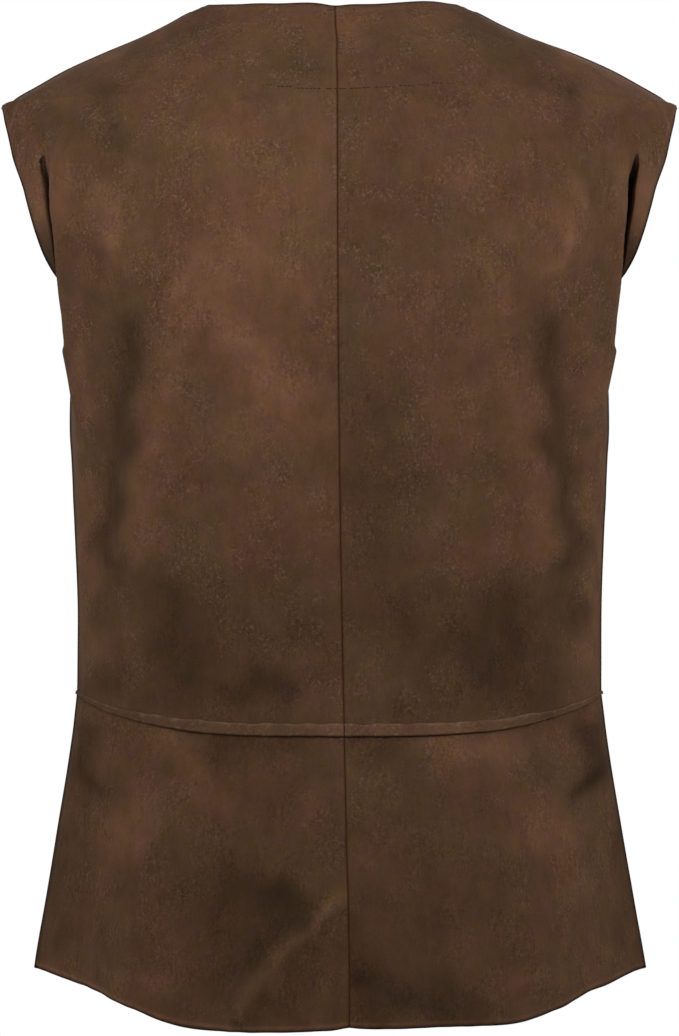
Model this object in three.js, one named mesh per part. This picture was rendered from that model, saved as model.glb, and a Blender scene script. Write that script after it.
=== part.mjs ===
// A sleeveless waistcoat in soft napped cloth, standing open as it does on a wearer: two backs with a
// centre seam, two fronts that meet edge to edge, a flared peplum in four pieces below the waist seam,
// a raised welt over that seam and a facing inside the back neck.
// Millimetres, +Z up. The back of the garment faces -Y and its fronts face +Y.
// The origin lies midway between the shoulders, at half the height of the shoulder seams.
import * as THREE from "three";

const wall = 1.8; // the cloth with its turned edges
const seamGap = 0.3; // between sewn neighbours
const weltProud = 1.3; // thickness of the welt that lies on the waist seam
const facingWall = 1.0; // the neck facing is a single layer

const waistSide = -423; // height of the waist seam at the side seams
const waistDip = 23; // how much lower it runs at the centre back and the centre front
const hemSide = -604; // height of the hem at the side seams
const hemDip = 26; // the hem hangs this much lower over its middle part
const hemRiseLeft = 0.45; // share of the half width where the hem starts to rise towards the side
const hemRiseRight = 0.5;
const leftHang = 2.5; // the middle of the left half of the hem hangs this much lower
const underarm = -200; // bottom of the armholes, where the side seams end
const shoulderTip = -35; // outer end of the shoulder seams
const neckPoint = 30; // inner end of the shoulder seams, at the neck
const neckHalfWidth = 85;
const backNeckDip = 6.5; // the neckline is lower at the centre back than at the neck points
const vDepth = 222; // the fronts' neckline drops this far below the neck points
const frontGap = 3; // between the two front edges
const foldsFade = 0.88; // folds die out from this share of the half width to the edge
const weltHeight = 5.5;
const facingLow = -26; // height of the facing's lower edge at the centre back
const facingAtShoulder = 8; // and where it meets the shoulder seams

// Horizontal sections of the worn form, from the hem up. halfWidth reaches to the side line, where
// the side seams and the shoulder seams lie, and sway moves the middle to +X. back and front are the
// depths at the centre. square rounds the middle of a section and roll its ends: 0.5 rolls into the
// other face and 1 meets it in a crease. open is how far the armhole's edge stands back from the side
// line, on each face, so the armhole cuts the section off there.
const sections = [
  { z: -660, halfWidth: 210, sway: 0, back: 121, front: 119, square: 2.2, roll: 0.86, open: 0 },
  { z: -604, halfWidth: 202, sway: 0, back: 121, front: 118, square: 2.2, roll: 0.82, open: 0 },
  { z: -559, halfWidth: 195, sway: 0, back: 119, front: 116, square: 2.2, roll: 0.76, open: 0 },
  { z: -506, halfWidth: 186, sway: 0, back: 111, front: 110, square: 2.2, roll: 0.68, open: 0 },
  { z: -465, halfWidth: 179, sway: 0, back: 98, front: 103, square: 2.3, roll: 0.58, open: 0 },
  { z: -440, halfWidth: 175, sway: 0, back: 91, front: 100, square: 2.35, roll: 0.53, open: 0 },
  { z: -415, halfWidth: 173, sway: 0, back: 90, front: 99, square: 2.4, roll: 0.5, open: 0 },
  { z: -374, halfWidth: 173, sway: 0, back: 94, front: 102, square: 2.4, roll: 0.5, open: 0 },
  { z: -321, halfWidth: 174.5, sway: 0, back: 101, front: 107, square: 2.4, roll: 0.5, open: 0 },
  { z: -290, halfWidth: 176, sway: 0, back: 106, front: 110, square: 2.4, roll: 0.5, open: 0 },
  { z: -268, halfWidth: 179, sway: 0, back: 110, front: 113, square: 2.4, roll: 0.5, open: 0 },
  { z: -229, halfWidth: 185.5, sway: 0, back: 115, front: 117, square: 2.4, roll: 0.5, open: 0 },
  { z: -200, halfWidth: 189, sway: 0, back: 118.5, front: 119, square: 2.4, roll: 0.5, open: 0 },
  { z: -195, halfWidth: 190.5, sway: 0, back: 119, front: 119.2, square: 2.4, roll: 0.5, open: 19 },
  { z: -186, halfWidth: 193, sway: 0, back: 119.6, front: 119.4, square: 2.4, roll: 0.5, open: 30 },
  { z: -172, halfWidth: 198, sway: 0, back: 120.2, front: 119.4, square: 2.4, roll: 0.5, open: 40 },
  { z: -147, halfWidth: 208, sway: 0, back: 120.6, front: 118.5, square: 2.4, roll: 0.5, open: 50 },
  { z: -123, halfWidth: 218, sway: 0, back: 120, front: 116, square: 2.4, roll: 0.5, open: 54 },
  { z: -97, halfWidth: 225.5, sway: 0, back: 118.5, front: 111, square: 2.4, roll: 0.5, open: 53 },
  { z: -71, halfWidth: 229, sway: 0, back: 115.5, front: 104, square: 2.4, roll: 0.5, open: 46 },
  { z: -50, halfWidth: 227.5, sway: 0, back: 110.5, front: 96, square: 2.4, roll: 0.52, open: 32 },
  { z: -40, halfWidth: 224.5, sway: 0, back: 107, front: 91.5, square: 2.4, roll: 0.55, open: 17 },
  { z: -35, halfWidth: 222, sway: 0, back: 105, front: 89, square: 2.4, roll: 0.56, open: 0 },
  { z: -26, halfWidth: 206, sway: 0, back: 101.5, front: 84, square: 2.4, roll: 0.58, open: 0 },
  { z: -13, halfWidth: 182.5, sway: -0.5, back: 96, front: 76, square: 2.4, roll: 0.6, open: 0 },
  { z: -2, halfWidth: 158.5, sway: -1, back: 90.5, front: 68, square: 2.4, roll: 0.6, open: 0 },
  { z: 8.5, halfWidth: 133, sway: -2.7, back: 84, front: 60, square: 2.4, roll: 0.58, open: 0 },
  { z: 17, halfWidth: 114, sway: -3.6, back: 78, front: 52, square: 2.4, roll: 0.56, open: 0 },
  { z: 25, halfWidth: 97, sway: -4.2, back: 71.5, front: 44, square: 2.4, roll: 0.54, open: 0 },
  { z: 30, halfWidth: 85, sway: -4.5, back: 68, front: 40, square: 2.4, roll: 0.52, open: 0 },
];

// The upright pleat that the unsupported shoulder drops in front of each armhole's edge, on each
// face: how deep it tucks inwards, where it lies as a share of the half width, and how wide it is.
const pleat = [
  { z: -300, depth: 0, at: 1, width: 0.05 },
  { z: -260, depth: 3, at: 1, width: 0.05 },
  { z: -229, depth: 9, at: 1, width: 0.04 },
  { z: -200, depth: 14, at: 1, width: 0.03 },
  { z: -172, depth: 14, at: 1, width: 0.022 },
  { z: -147, depth: 12, at: 0.99, width: 0.016 },
  { z: -123, depth: 12, at: 0.975, width: 0.017 },
  { z: -97, depth: 12, at: 0.955, width: 0.02 },
  { z: -71, depth: 7, at: 0.94, width: 0.02 },
  { z: -56, depth: 2.5, at: 0.933, width: 0.02 },
  { z: -44, depth: 0, at: 0.93, width: 0.02 },
];

// Soft folds, each along a line from (x, z) to (toX, toZ) seen from behind or in front. x counts
// outwards from the centre. side is 1 for +X, -1 for -X and 0 for both. A negative height is a trough.
const folds = [
  { face: "back", side: 0, x: 88, z: -92, toX: 100, toZ: -180, width: 44, height: 5 },
  { face: "back", side: 0, x: 106, z: -140, toX: 144, toZ: -335, width: 15, height: 4.5 },
  { face: "back", side: 0, x: 148, z: -215, toX: 153, toZ: -380, width: 13, height: -4.5 },
  { face: "back", side: 0, x: 106, z: -355, toX: 108, toZ: -430, width: 11, height: -3 },
  { face: "back", side: 0, x: 2, z: -60, toX: 2, toZ: -330, width: 26, height: -3 },
  { face: "back", side: -1, x: 20, z: -385, toX: 55, toZ: -425, width: 10, height: -2.2 },
  { face: "back", side: 1, x: 46, z: -350, toX: 62, toZ: -420, width: 9, height: 2 },
  { face: "back", side: 0, x: 160, z: -452, toX: 170, toZ: -480, width: 13, height: -4 },
  { face: "back", side: -1, x: 104, z: -462, toX: 134, toZ: -600, width: 17, height: 6 },
  { face: "back", side: 1, x: 92, z: -462, toX: 128, toZ: -600, width: 18, height: 6 },
  { face: "back", side: -1, x: 48, z: -500, toX: 92, toZ: -626, width: 15, height: -5 },
  { face: "back", side: 1, x: 40, z: -510, toX: 66, toZ: -630, width: 17, height: -5 },
  { face: "back", side: -1, x: 22, z: -560, toX: 66, toZ: -628, width: 10, height: 4 },
  { face: "back", side: 0, x: 168, z: -530, toX: 176, toZ: -610, width: 13, height: -4 },
  { face: "front", side: 0, x: 84, z: -120, toX: 84, toZ: -190, width: 46, height: 4 },
  { face: "front", side: 0, x: 110, z: -170, toX: 138, toZ: -340, width: 16, height: 4 },
  { face: "front", side: 0, x: 147, z: -225, toX: 152, toZ: -380, width: 13, height: -4 },
  { face: "front", side: 0, x: 90, z: -350, toX: 96, toZ: -430, width: 13, height: -3 },
  { face: "front", side: 0, x: 160, z: -452, toX: 168, toZ: -480, width: 13, height: -4 },
  { face: "front", side: 0, x: 96, z: -465, toX: 122, toZ: -610, width: 18, height: 6 },
  { face: "front", side: 0, x: 52, z: -505, toX: 66, toZ: -628, width: 16, height: -5 },
  { face: "front", side: 0, x: 166, z: -530, toX: 174, toZ: -610, width: 13, height: -4 },
];

// The centre back seam wanders a little off the middle as it hangs.
const backSeamDrift = [
  { z: -630, x: 6 },
  { z: -444, x: 3 },
  { z: -300, x: 0.4 },
  { z: -160, x: -1 },
  { z: -20, x: -1.4 },
  { z: 24, x: 1 },
];

// A smooth line through one column of a table whose rows are in order of z. It never swings past the
// values on either side.
function column(table, name) {
  const secant = (i) => (table[i + 1][name] - table[i][name]) / (table[i + 1].z - table[i].z);
  const slope = (i) => {
    if (i === 0 || i === table.length - 1) return 0;
    const before = secant(i - 1);
    const after = secant(i);
    return before * after > 0 ? (2 * before * after) / (before + after) : 0;
  };
  return (z) => {
    if (z <= table[0].z) return table[0][name];
    if (z >= table[table.length - 1].z) return table[table.length - 1][name];
    const i = table.findIndex((row) => row.z > z) - 1;
    const run = table[i + 1].z - table[i].z;
    const t = (z - table[i].z) / run;
    const start = table[i][name];
    const end = table[i + 1][name];
    const startSlope = slope(i) * run;
    const endSlope = slope(i + 1) * run;
    return (
      start * (1 + 2 * t) * (1 - t) ** 2 +
      startSlope * t * (1 - t) ** 2 +
      end * t * t * (3 - 2 * t) -
      endSlope * t * t * (1 - t)
    );
  };
}

const halfWidth = column(sections, "halfWidth");
const sway = column(sections, "sway");
const depth = { back: column(sections, "back"), front: column(sections, "front") };
const square = column(sections, "square");
const roll = column(sections, "roll");
const open = column(sections, "open");
const pleatDepth = column(pleat, "depth");
const pleatAt = column(pleat, "at");
const pleatWidth = column(pleat, "width");
const seamDrift = column(backSeamDrift, "x");

const smoothstep = (t) => {
  const c = Math.min(1, Math.max(0, t));
  return c * c * (3 - 2 * c);
};

const waistAt = (s) => waistSide - waistDip * (1 - s ** 3.5);
const hemAt = (s, side) => {
  const rise = side < 0 ? hemRiseLeft : hemRiseRight;
  const hang = side < 0 ? leftHang * Math.sin(Math.PI * Math.min(1, s / 0.65)) : 0;
  return hemSide - hemDip * (1 - smoothstep((s - rise) / (1 - rise))) - hang;
};
const backNeckAt = (s) => neckPoint - backNeckDip * (1 - s * s) ** 0.8;

// Sum of the folds at a place on one face. x is signed and z is the height.
function foldLift(face, x, z) {
  let lift = 0;
  for (const fold of folds) {
    if (fold.face !== face || fold.side * x < 0) continue;
    const runX = fold.toX - fold.x;
    const runZ = fold.toZ - fold.z;
    const along = ((Math.abs(x) - fold.x) * runX + (z - fold.z) * runZ) / (runX * runX + runZ * runZ);
    const t = Math.min(1, Math.max(0, along));
    const away = Math.hypot(Math.abs(x) - fold.x - t * runX, z - fold.z - t * runZ);
    lift += fold.height * Math.exp(-((away / fold.width) ** 2));
  }
  return lift;
}

// How much of the half width is left where the armhole cuts a section off: all of it on a seam.
function reachOf(face, z) {
  return (1 - (open(z) / depth[face](z)) ** (1 / roll(z))) ** (1 / square(z));
}

// A point of the cloth's outer face. s runs from 0 at the centre to 1 at the edge, at height z.
function clothPoint(face, side, s, z) {
  const outward = face === "back" ? -1 : 1;
  const reach = reachOf(face, z);
  const bow = (1 - (s * reach) ** square(z)) ** roll(z);
  const drift = face === "back" ? seamDrift(z) * (1 - s) ** 1.5 : 0;
  const tuck = pleatDepth(z) * Math.exp(-(((s - pleatAt(z)) / pleatWidth(z)) ** 2));
  let x = side * (halfWidth(z) * s * reach - tuck) + sway(z) + drift;
  let y = outward * (seamGap / 2 + (depth[face](z) - seamGap / 2) * bow);
  const towards = new THREE.Vector2(x / halfWidth(z) ** 2, y / depth[face](z) ** 2).normalize();
  const edgeHold = 1 - smoothstep((s - foldsFade) / (1 - foldsFade));
  const lift = foldLift(face, x, z) * edgeHold;
  x += towards.x * lift;
  y += towards.y * lift;
  return new THREE.Vector3(x, y, z);
}

// Columns run from the centre to the side, closer together where the pleat turns.
const columnAngles = [0, 9, 18, 27, 36, 45, 53, 60, 65, 69, 72.5, 75.5, 78.5, 81.5, 84.5, 87.3, 90];
const columnShares = columnAngles.map((degrees) => Math.sin((degrees * Math.PI) / 180));

// Heights of the bodice's rows where they meet the side seam, the armhole and the shoulder seam. The
// second row is the welt's upper edge.
const bodiceLevels = [
  waistSide, waistSide + weltHeight, -385, -348, -311, -278, -250, -226, underarm, -193, -180, -164,
  -148, -132, -116, -99, -82, -66, -52, -42, shoulderTip, -22, -7, 7, 19, neckPoint,
];

// The bodice's grid: the lowest row follows the waist seam and, on the back, the highest follows the
// neckline. The rows between level out.
function bodiceRows(face, side) {
  return bodiceLevels.map((level) => {
    const nearWaist = Math.max(0, 1 - (level - waistSide) / 150) ** 2;
    const nearNeck = Math.max(0, 1 - (neckPoint - level) / 60) ** 1.5;
    const start = face === "back" ? 0 : frontEdgeShare(level);
    return columnShares.map((share) => {
      const s = start + (1 - start) * share;
      const toWaist = (waistAt(s) - waistSide) * nearWaist;
      const toNeck = face === "back" ? (backNeckAt(s) - neckPoint) * nearNeck : 0;
      const point = clothPoint(face, side, s, level + toWaist + toNeck);
      if (share === 0) point.x += seamHalf(face, side);
      return point;
    });
  });
}

// Half of the gap between the two panels that meet at the centre.
function seamHalf(face, side) {
  return face === "back" ? (side * seamGap) / 2 : 0;
}

// Where the front's free edge lies at a height, as a share of its way to the outer edge: straight up
// the centre front, then out along the neckline to the neck point.
function frontEdgeShare(z) {
  const upV = Math.max(0, (z - (neckPoint - vDepth)) / vDepth);
  const neckEdge = frontGap / 2 + (neckHalfWidth - 2 - frontGap / 2) * upV ** 0.9;
  return neckEdge / (halfWidth(z) * reachOf("front", z));
}

const peplumShares = [0, 0.06, 0.16, 0.3, 0.44, 0.58, 0.72, 0.86, 1];

function peplumRows(face, side) {
  return peplumShares.map((down) =>
    columnShares.map((share) => {
      const start = face === "back" ? 0 : frontEdgeShare(waistSide);
      const s = start + (1 - start) * share;
      const top = waistAt(s) - seamGap;
      const point = clothPoint(face, side, s, top + (hemAt(s, side) - top) * (1 - down));
      if (share === 0) point.x += seamHalf(face, side);
      return point;
    }),
  );
}

// Outward normals of a grid of points, from the quads round each one. Rows go up and columns go out
// from the centre, so the sign depends on the face and the side.
function gridNormals(rows, sign) {
  return rows.map((row, i) =>
    row.map((point, j) => {
      const down = rows[Math.max(i - 1, 0)][j];
      const up = rows[Math.min(i + 1, rows.length - 1)][j];
      const inner = row[Math.max(j - 1, 0)];
      const outer = row[Math.min(j + 1, row.length - 1)];
      const normal = new THREE.Vector3().subVectors(outer, inner);
      return normal.cross(new THREE.Vector3().subVectors(up, down)).multiplyScalar(sign).normalize();
    }),
  );
}

// Where a seam joins two panels, both of them turn their edge straight through the cloth: no lean
// across the centre at column 0, none across the side or shoulder seam at the last column.
function squareSeams(rows, normals, isSideSeam) {
  normals.forEach((row, i) => {
    row[0].setX(0).normalize();
    const last = row[row.length - 1];
    if (isSideSeam(rows[i][row.length - 1].z)) last.setY(0).normalize();
  });
}

function move(rows, normals, distance) {
  return rows.map((row, i) => row.map((point, j) => point.clone().addScaledVector(normals[i][j], distance)));
}

// A closed wall between two grids of points, outerRows on the outside.
function wallGeometry(outerRows, innerRows, flip) {
  const high = outerRows.length;
  const wide = outerRows[0].length;
  const positions = [outerRows, innerRows].flat(2).flatMap((point) => point.toArray());
  const outer = (i, j) => i * wide + j;
  const inner = (i, j) => (high + i) * wide + j;
  const index = [];
  const quad = (a, b, c, d) => {
    if (flip) index.push(a, c, b, a, d, c);
    else index.push(a, b, c, a, c, d);
  };
  for (let i = 0; i < high - 1; i++) {
    for (let j = 0; j < wide - 1; j++) {
      quad(outer(i, j), outer(i, j + 1), outer(i + 1, j + 1), outer(i + 1, j));
      quad(inner(i, j), inner(i + 1, j), inner(i + 1, j + 1), inner(i, j + 1));
    }
    quad(outer(i, 0), outer(i + 1, 0), inner(i + 1, 0), inner(i, 0));
    quad(outer(i, wide - 1), inner(i, wide - 1), inner(i + 1, wide - 1), outer(i + 1, wide - 1));
  }
  for (let j = 0; j < wide - 1; j++) {
    quad(outer(0, j), inner(0, j), inner(0, j + 1), outer(0, j + 1));
    quad(outer(high - 1, j), outer(high - 1, j + 1), inner(high - 1, j + 1), inner(high - 1, j));
  }
  const geometry = new THREE.BufferGeometry();
  geometry.setAttribute("position", new THREE.Float32BufferAttribute(positions, 3));
  geometry.setIndex(index);
  geometry.computeVertexNormals();
  return geometry;
}

const suede = new THREE.MeshStandardMaterial({ color: 0x5a4030, roughness: 0.92, metalness: 0 });
const suedeWelt = new THREE.MeshStandardMaterial({ color: 0x634636, roughness: 0.9, metalness: 0 });
const suedeFacing = new THREE.MeshStandardMaterial({ color: 0x4c3628, roughness: 0.94, metalness: 0 });

const waistcoat = new THREE.Group();

function addPiece(name, geometry, material) {
  const mesh = new THREE.Mesh(geometry, material);
  mesh.name = name;
  waistcoat.add(mesh);
}

// Seen from outside, +X on the back and -X on the front both lie to the right, so their grids turn
// the same way.
const turnsLeft = (face, side) => (face === "back" ? side < 0 : side > 0);

const isBodiceSeam = (z) => z <= underarm + 1 || z >= shoulderTip - 1;

function addPanel(name, face, side, rows, isSideSeam) {
  const flip = turnsLeft(face, side);
  const normals = gridNormals(rows, flip ? -1 : 1);
  squareSeams(rows, normals, isSideSeam);
  addPiece(name, wallGeometry(rows, move(rows, normals, -wall), flip), suede);
}

// Points of a panel's own columns, at chosen heights up to the highest row.
function onColumns(rows, heightsOfColumn) {
  const columns = rows[0].map((_, j) => rows.map((row) => row[j]));
  const picked = columns.map((column, j) =>
    heightsOfColumn(j, column).map((z) => {
      const above = column.findIndex((point) => point.z >= z - 1e-6);
      const i = Math.max(above, 1);
      const t = (z - column[i - 1].z) / (column[i].z - column[i - 1].z);
      return column[i - 1].clone().lerp(column[i], t);
    }),
  );
  return picked[0].map((_, i) => picked.map((column) => column[i]));
}

// The welt lies on the bodice's lowest few millimetres and thins out towards the side seams.
function addWelt(name, face, side, panelRows) {
  const flip = turnsLeft(face, side);
  const rows = onColumns(panelRows, (j, column) => {
    const height = (column[1].z - column[0].z) * (1 - 0.5 * columnShares[j] ** 4);
    return [column[0].z, column[0].z + height];
  });
  const normals = gridNormals(rows, flip ? -1 : 1);
  squareSeams(rows, normals, () => true);
  const underside = move(rows, normals, seamGap);
  const top = move(rows, normals, seamGap + weltProud);
  addPiece(name, wallGeometry(top, underside, flip), suedeWelt);
}

// The facing lies inside the back neck, in one piece from one shoulder seam to the other. Its lower
// edge is an arc that rises to the shoulder seams.
function addNeckFacing(leftRows, rightRows) {
  const across = leftRows.map((row, i) => [
    ...row.slice(1).reverse(),
    row[0].clone().lerp(rightRows[i][0], 0.5),
    ...rightRows[i].slice(1),
  ]);
  const middle = columnShares.length - 1;
  const rows = onColumns(across, (j, column) => {
    const share = columnShares[Math.abs(j - middle)];
    const top = column[column.length - 1].z;
    const low = facingLow + (facingAtShoulder - facingLow) * share ** 2;
    return [0, 0.25, 0.5, 0.75, 1].map((up) => low + (top - low) * up);
  });
  const normals = gridNormals(rows, 1);
  const outer = move(rows, normals, -(wall + seamGap));
  const inner = move(rows, normals, -(wall + seamGap + facingWall));
  addPiece("back_neck_facing", wallGeometry(outer, inner, false), suedeFacing);
}

const backRows = {};
for (const [sideName, side] of [["left", -1], ["right", 1]]) {
  for (const face of ["back", "front"]) {
    const rows = bodiceRows(face, side);
    addPanel(`${face}_${sideName}`, face, side, rows, isBodiceSeam);
    addWelt(`waist_welt_${face}_${sideName}`, face, side, rows);
    addPanel(`peplum_${face}_${sideName}`, face, side, peplumRows(face, side), () => true);
    if (face === "back") backRows[sideName] = rows;
  }
}
addNeckFacing(backRows.left, backRows.right);

export default waistcoat;
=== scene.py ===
import math

import bpy
import numpy as np
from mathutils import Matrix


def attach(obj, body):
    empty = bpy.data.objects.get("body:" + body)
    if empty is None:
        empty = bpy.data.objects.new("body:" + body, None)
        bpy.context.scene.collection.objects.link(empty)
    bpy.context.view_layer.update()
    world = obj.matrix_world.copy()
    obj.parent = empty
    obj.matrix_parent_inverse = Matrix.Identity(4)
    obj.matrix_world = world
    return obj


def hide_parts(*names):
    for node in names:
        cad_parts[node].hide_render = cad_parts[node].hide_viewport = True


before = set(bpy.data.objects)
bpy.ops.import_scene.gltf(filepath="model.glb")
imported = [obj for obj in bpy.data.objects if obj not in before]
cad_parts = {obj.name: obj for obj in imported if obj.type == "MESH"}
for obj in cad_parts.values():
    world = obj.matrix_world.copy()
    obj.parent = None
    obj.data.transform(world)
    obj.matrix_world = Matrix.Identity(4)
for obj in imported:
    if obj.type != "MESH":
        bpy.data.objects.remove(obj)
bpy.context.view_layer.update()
print("frame loaded:", len(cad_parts), "nodes")

# The garment is worked out in millimetres, +Z up, its back facing -Y, and made in metres.
metre = 0.001

view = {
    "distance": 2.8,  # metres behind the garment
    "height": -0.307,  # level with the middle of the back
    "frameHeight": 0.68376,  # what the upright frame takes in at the garment, in metres
    "sensor": 36.0,
}
studio = {
    "floorHeight": -1.38,  # a wearer's shoulders stand this far over the floor
    "floorRadius": 3.0,
    "floorRings": [0.4, 0.7, 1.0],  # shares of that
    "floorSides": 96,
    "floorColor": (0.86, 0.85, 0.83, 1),
    "floorRoughness": 0.9,
    "skyWhite": 1.0,  # what the camera sees behind the garment
    "skyLight": 0.06,  # what the sky adds to the light
    "skyColor": (0.92, 0.97, 1.0, 1),
    "lamps": [  # name, place, aim, size, watts, color
        ("key", (-0.2, -0.62, 0.14), (-0.05, -0.1, -0.25), (0.35, 0.35), 1.45, (1.0, 0.97, 0.93)),
        ("left", (-1.5, -0.65, -0.2), (0.0, 0.0, -0.3), (0.5, 0.7), 6.7, (1.0, 0.98, 0.95)),
        ("right", (1.2, -0.6, 0.08), (0.0, 0.0, -0.3), (0.5, 0.7), 7.6, (1.0, 0.98, 0.95)),
        ("top", (0.1, -0.45, 1.3), (0.0, -0.05, -0.1), (0.5, 0.5), 1.3, (1.0, 0.98, 0.96)),
        ("frontLeft", (-0.5, 1.1, 0.1), (0.0, 0.0, -0.3), (0.6, 0.6), 4.5, (1.0, 0.97, 0.94)),
        ("frontRight", (0.45, 1.15, 0.2), (0.0, 0.0, -0.3), (0.6, 0.6), 4.5, (1.0, 0.97, 0.94)),
    ],
}


def addCamera():
    data = bpy.data.cameras.new("camera")
    data.sensor_fit = "AUTO"
    data.sensor_width = view["sensor"]
    data.lens = view["sensor"] * view["distance"] / view["frameHeight"]
    data.dof.use_dof = False
    camera = bpy.data.objects.new("camera", data)
    camera.location = (0, -view["distance"], view["height"])
    camera.rotation_euler = (math.pi / 2, 0, 0)
    bpy.context.scene.collection.objects.link(camera)
    bpy.context.scene.camera = camera


def addLamps():
    for name, place, aim, size, watts, color in studio["lamps"]:
        data = bpy.data.lights.new(name, "AREA")
        data.shape = "RECTANGLE"
        data.size, data.size_y = size
        data.energy = watts
        data.color = color
        lamp = bpy.data.objects.new(name, data)
        lamp.location = place
        lamp.visible_camera = False
        away = np.subtract(place, aim)
        tilt = math.atan2(math.hypot(away[0], away[1]), away[2])
        lamp.rotation_euler = (tilt, 0, math.atan2(away[0], -away[1]))
        bpy.context.scene.collection.objects.link(lamp)


class Value:  # a number in a material: arithmetic on it adds Math nodes
    def __init__(self, shader, socket):
        self.shader = shader
        self.socket = socket

    def math(self, operation, first, second):
        return self.shader.node("ShaderNodeMath", {"operation": operation}, {0: first, 1: second})

    def __add__(self, other):
        return self.math("ADD", self, other)

    def __radd__(self, other):
        return self.math("ADD", other, self)

    def __sub__(self, other):
        return self.math("SUBTRACT", self, other)

    def __rsub__(self, other):
        return self.math("SUBTRACT", other, self)

    def __mul__(self, other):
        return self.math("MULTIPLY", self, other)

    def __rmul__(self, other):
        return self.math("MULTIPLY", other, self)


class Shader:  # one material's nodes
    def __init__(self, name):
        self.material = bpy.data.materials.new(name)
        self.material.use_nodes = True
        self.nodes = self.material.node_tree.nodes
        self.links = self.material.node_tree.links
        self.surface = self.nodes["Principled BSDF"]

    def feed(self, node, values):
        for socket, value in values.items():
            if isinstance(value, Value):
                self.links.new(value.socket, node.inputs[socket])
            else:
                node.inputs[socket].default_value = value

    def node(self, kind, settings=None, values=None, output=0):
        node = self.nodes.new(kind)
        for name, setting in (settings or {}).items():
            setattr(node, name, setting)
        self.feed(node, values or {})
        return Value(self, node.outputs[output])

    def place(self, offset=(0, 0, 0), stretch=(1, 1, 1)):  # object coordinates, moved and stretched
        coordinates = self.node("ShaderNodeTexCoord", output="Object")
        values = {"Vector": coordinates, "Location": offset, "Scale": stretch}
        return self.node("ShaderNodeMapping", {}, values)

    def noise(self, place, size, detail=2.0, rough=0.5):  # size is a blotch in metres; 0 to 1 round 0.5
        values = {"Vector": place, "Scale": 0.5 / size, "Detail": detail, "Roughness": rough}
        return self.node("ShaderNodeTexNoise", {}, values)

    def level(self, value, low, high):  # low..high becomes 0..1, softly
        return self.node("ShaderNodeMapRange", {"interpolation_type": "SMOOTHSTEP"}, {
            "Value": value, "From Min": low, "From Max": high, "To Min": 0.0, "To Max": 1.0})

    def blend(self, factor, first, second):
        settings = {"data_type": "RGBA", "clamp_factor": True}
        return self.node("ShaderNodeMix", settings, {0: factor, 6: first, 7: second}, output=2)

    def scaled(self, color, factor):
        return self.node("ShaderNodeVectorMath", {"operation": "SCALE"}, {0: color, "Scale": factor})

    def tinted(self, color, tint):
        return self.node("ShaderNodeVectorMath", {"operation": "MULTIPLY"}, {0: color, 1: tint})

    def attribute(self, name):
        return self.node("ShaderNodeAttribute", {"attribute_name": name}, output="Fac")


suede = {
    "red": (0.1536, 0.0734, 0.0402, 1),  # where the nap lies reddish
    "olive": (0.1400, 0.0749, 0.0385, 1),  # and where it lies olive brown
    "pale": (0.270, 0.165, 0.112, 1),  # painted highlights on ridges and just inside edges, and light flecks
    "edge": (0.016, 0.010, 0.006, 1),  # near black: painted shade along edges and seams, in the slit and below the welt, and the pits
    "crease": (0.076, 0.024, 0.005, 1),  # painted shade in the depth of seams, reddish
    "rose": (1.0, 0.99, 1.11),  # what the nap's color is multiplied by where it leans to rose
    "ochre": (1.0, 1.015, 0.90),  # and where it leans to ochre
    "backing": (0.200, 0.127, 0.086, 1),  # wrong side
    # sizes in metres of the marks, and how strongly each changes the brightness
    "patches": (0.034, 0.56),
    "clouds": (0.015, 0.44),
    "blotches": (0.0070, 0.34),
    "streaks": (0.0034, 0.34),
    "fibres": (0.0009, 0.58),
    "tufts": (0.0008, 0.72),
    # spots: their size, and the levels of the noise where they begin and where they are full
    "clusters": (0.011, 0.43, 0.60),  # where the nap is broken into tufts
    "hue": (0.024, 0.40, 0.60),
    "tint": (0.0065, 0.38, 0.62),
    "flecks": (0.0010, 0.56, 0.74),
    "pits": (0.0014, 0.30, 0.22),
    "broken": (0.45, 0.95),  # strength of fibres and tufts everywhere, and what the clusters add
    "shadedOlive": 1.3,  # how much more olive the darker tone is, painted shade included
    "fleckPale": 0.54,
    "fleckLeast": 0.12,  # flecks outside the clusters
    "fleckNap": (0.60, 1.05),  # how bright the nap is where they begin and where they are full
    "pitDark": 0.10,
    "backingShare": 0.8,
    "upright": 0.32,  # how the streaks and fibres stretch down the cloth
    "roughness": 0.92,
    "specular": 0.12,
    "sheen": 0.03,
    "bumpStrength": 0.8,
    "grainBump": 0.00025,
    "blotchBump": 2.0,  # how high blotches stand beside fibres and tufts
}


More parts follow.
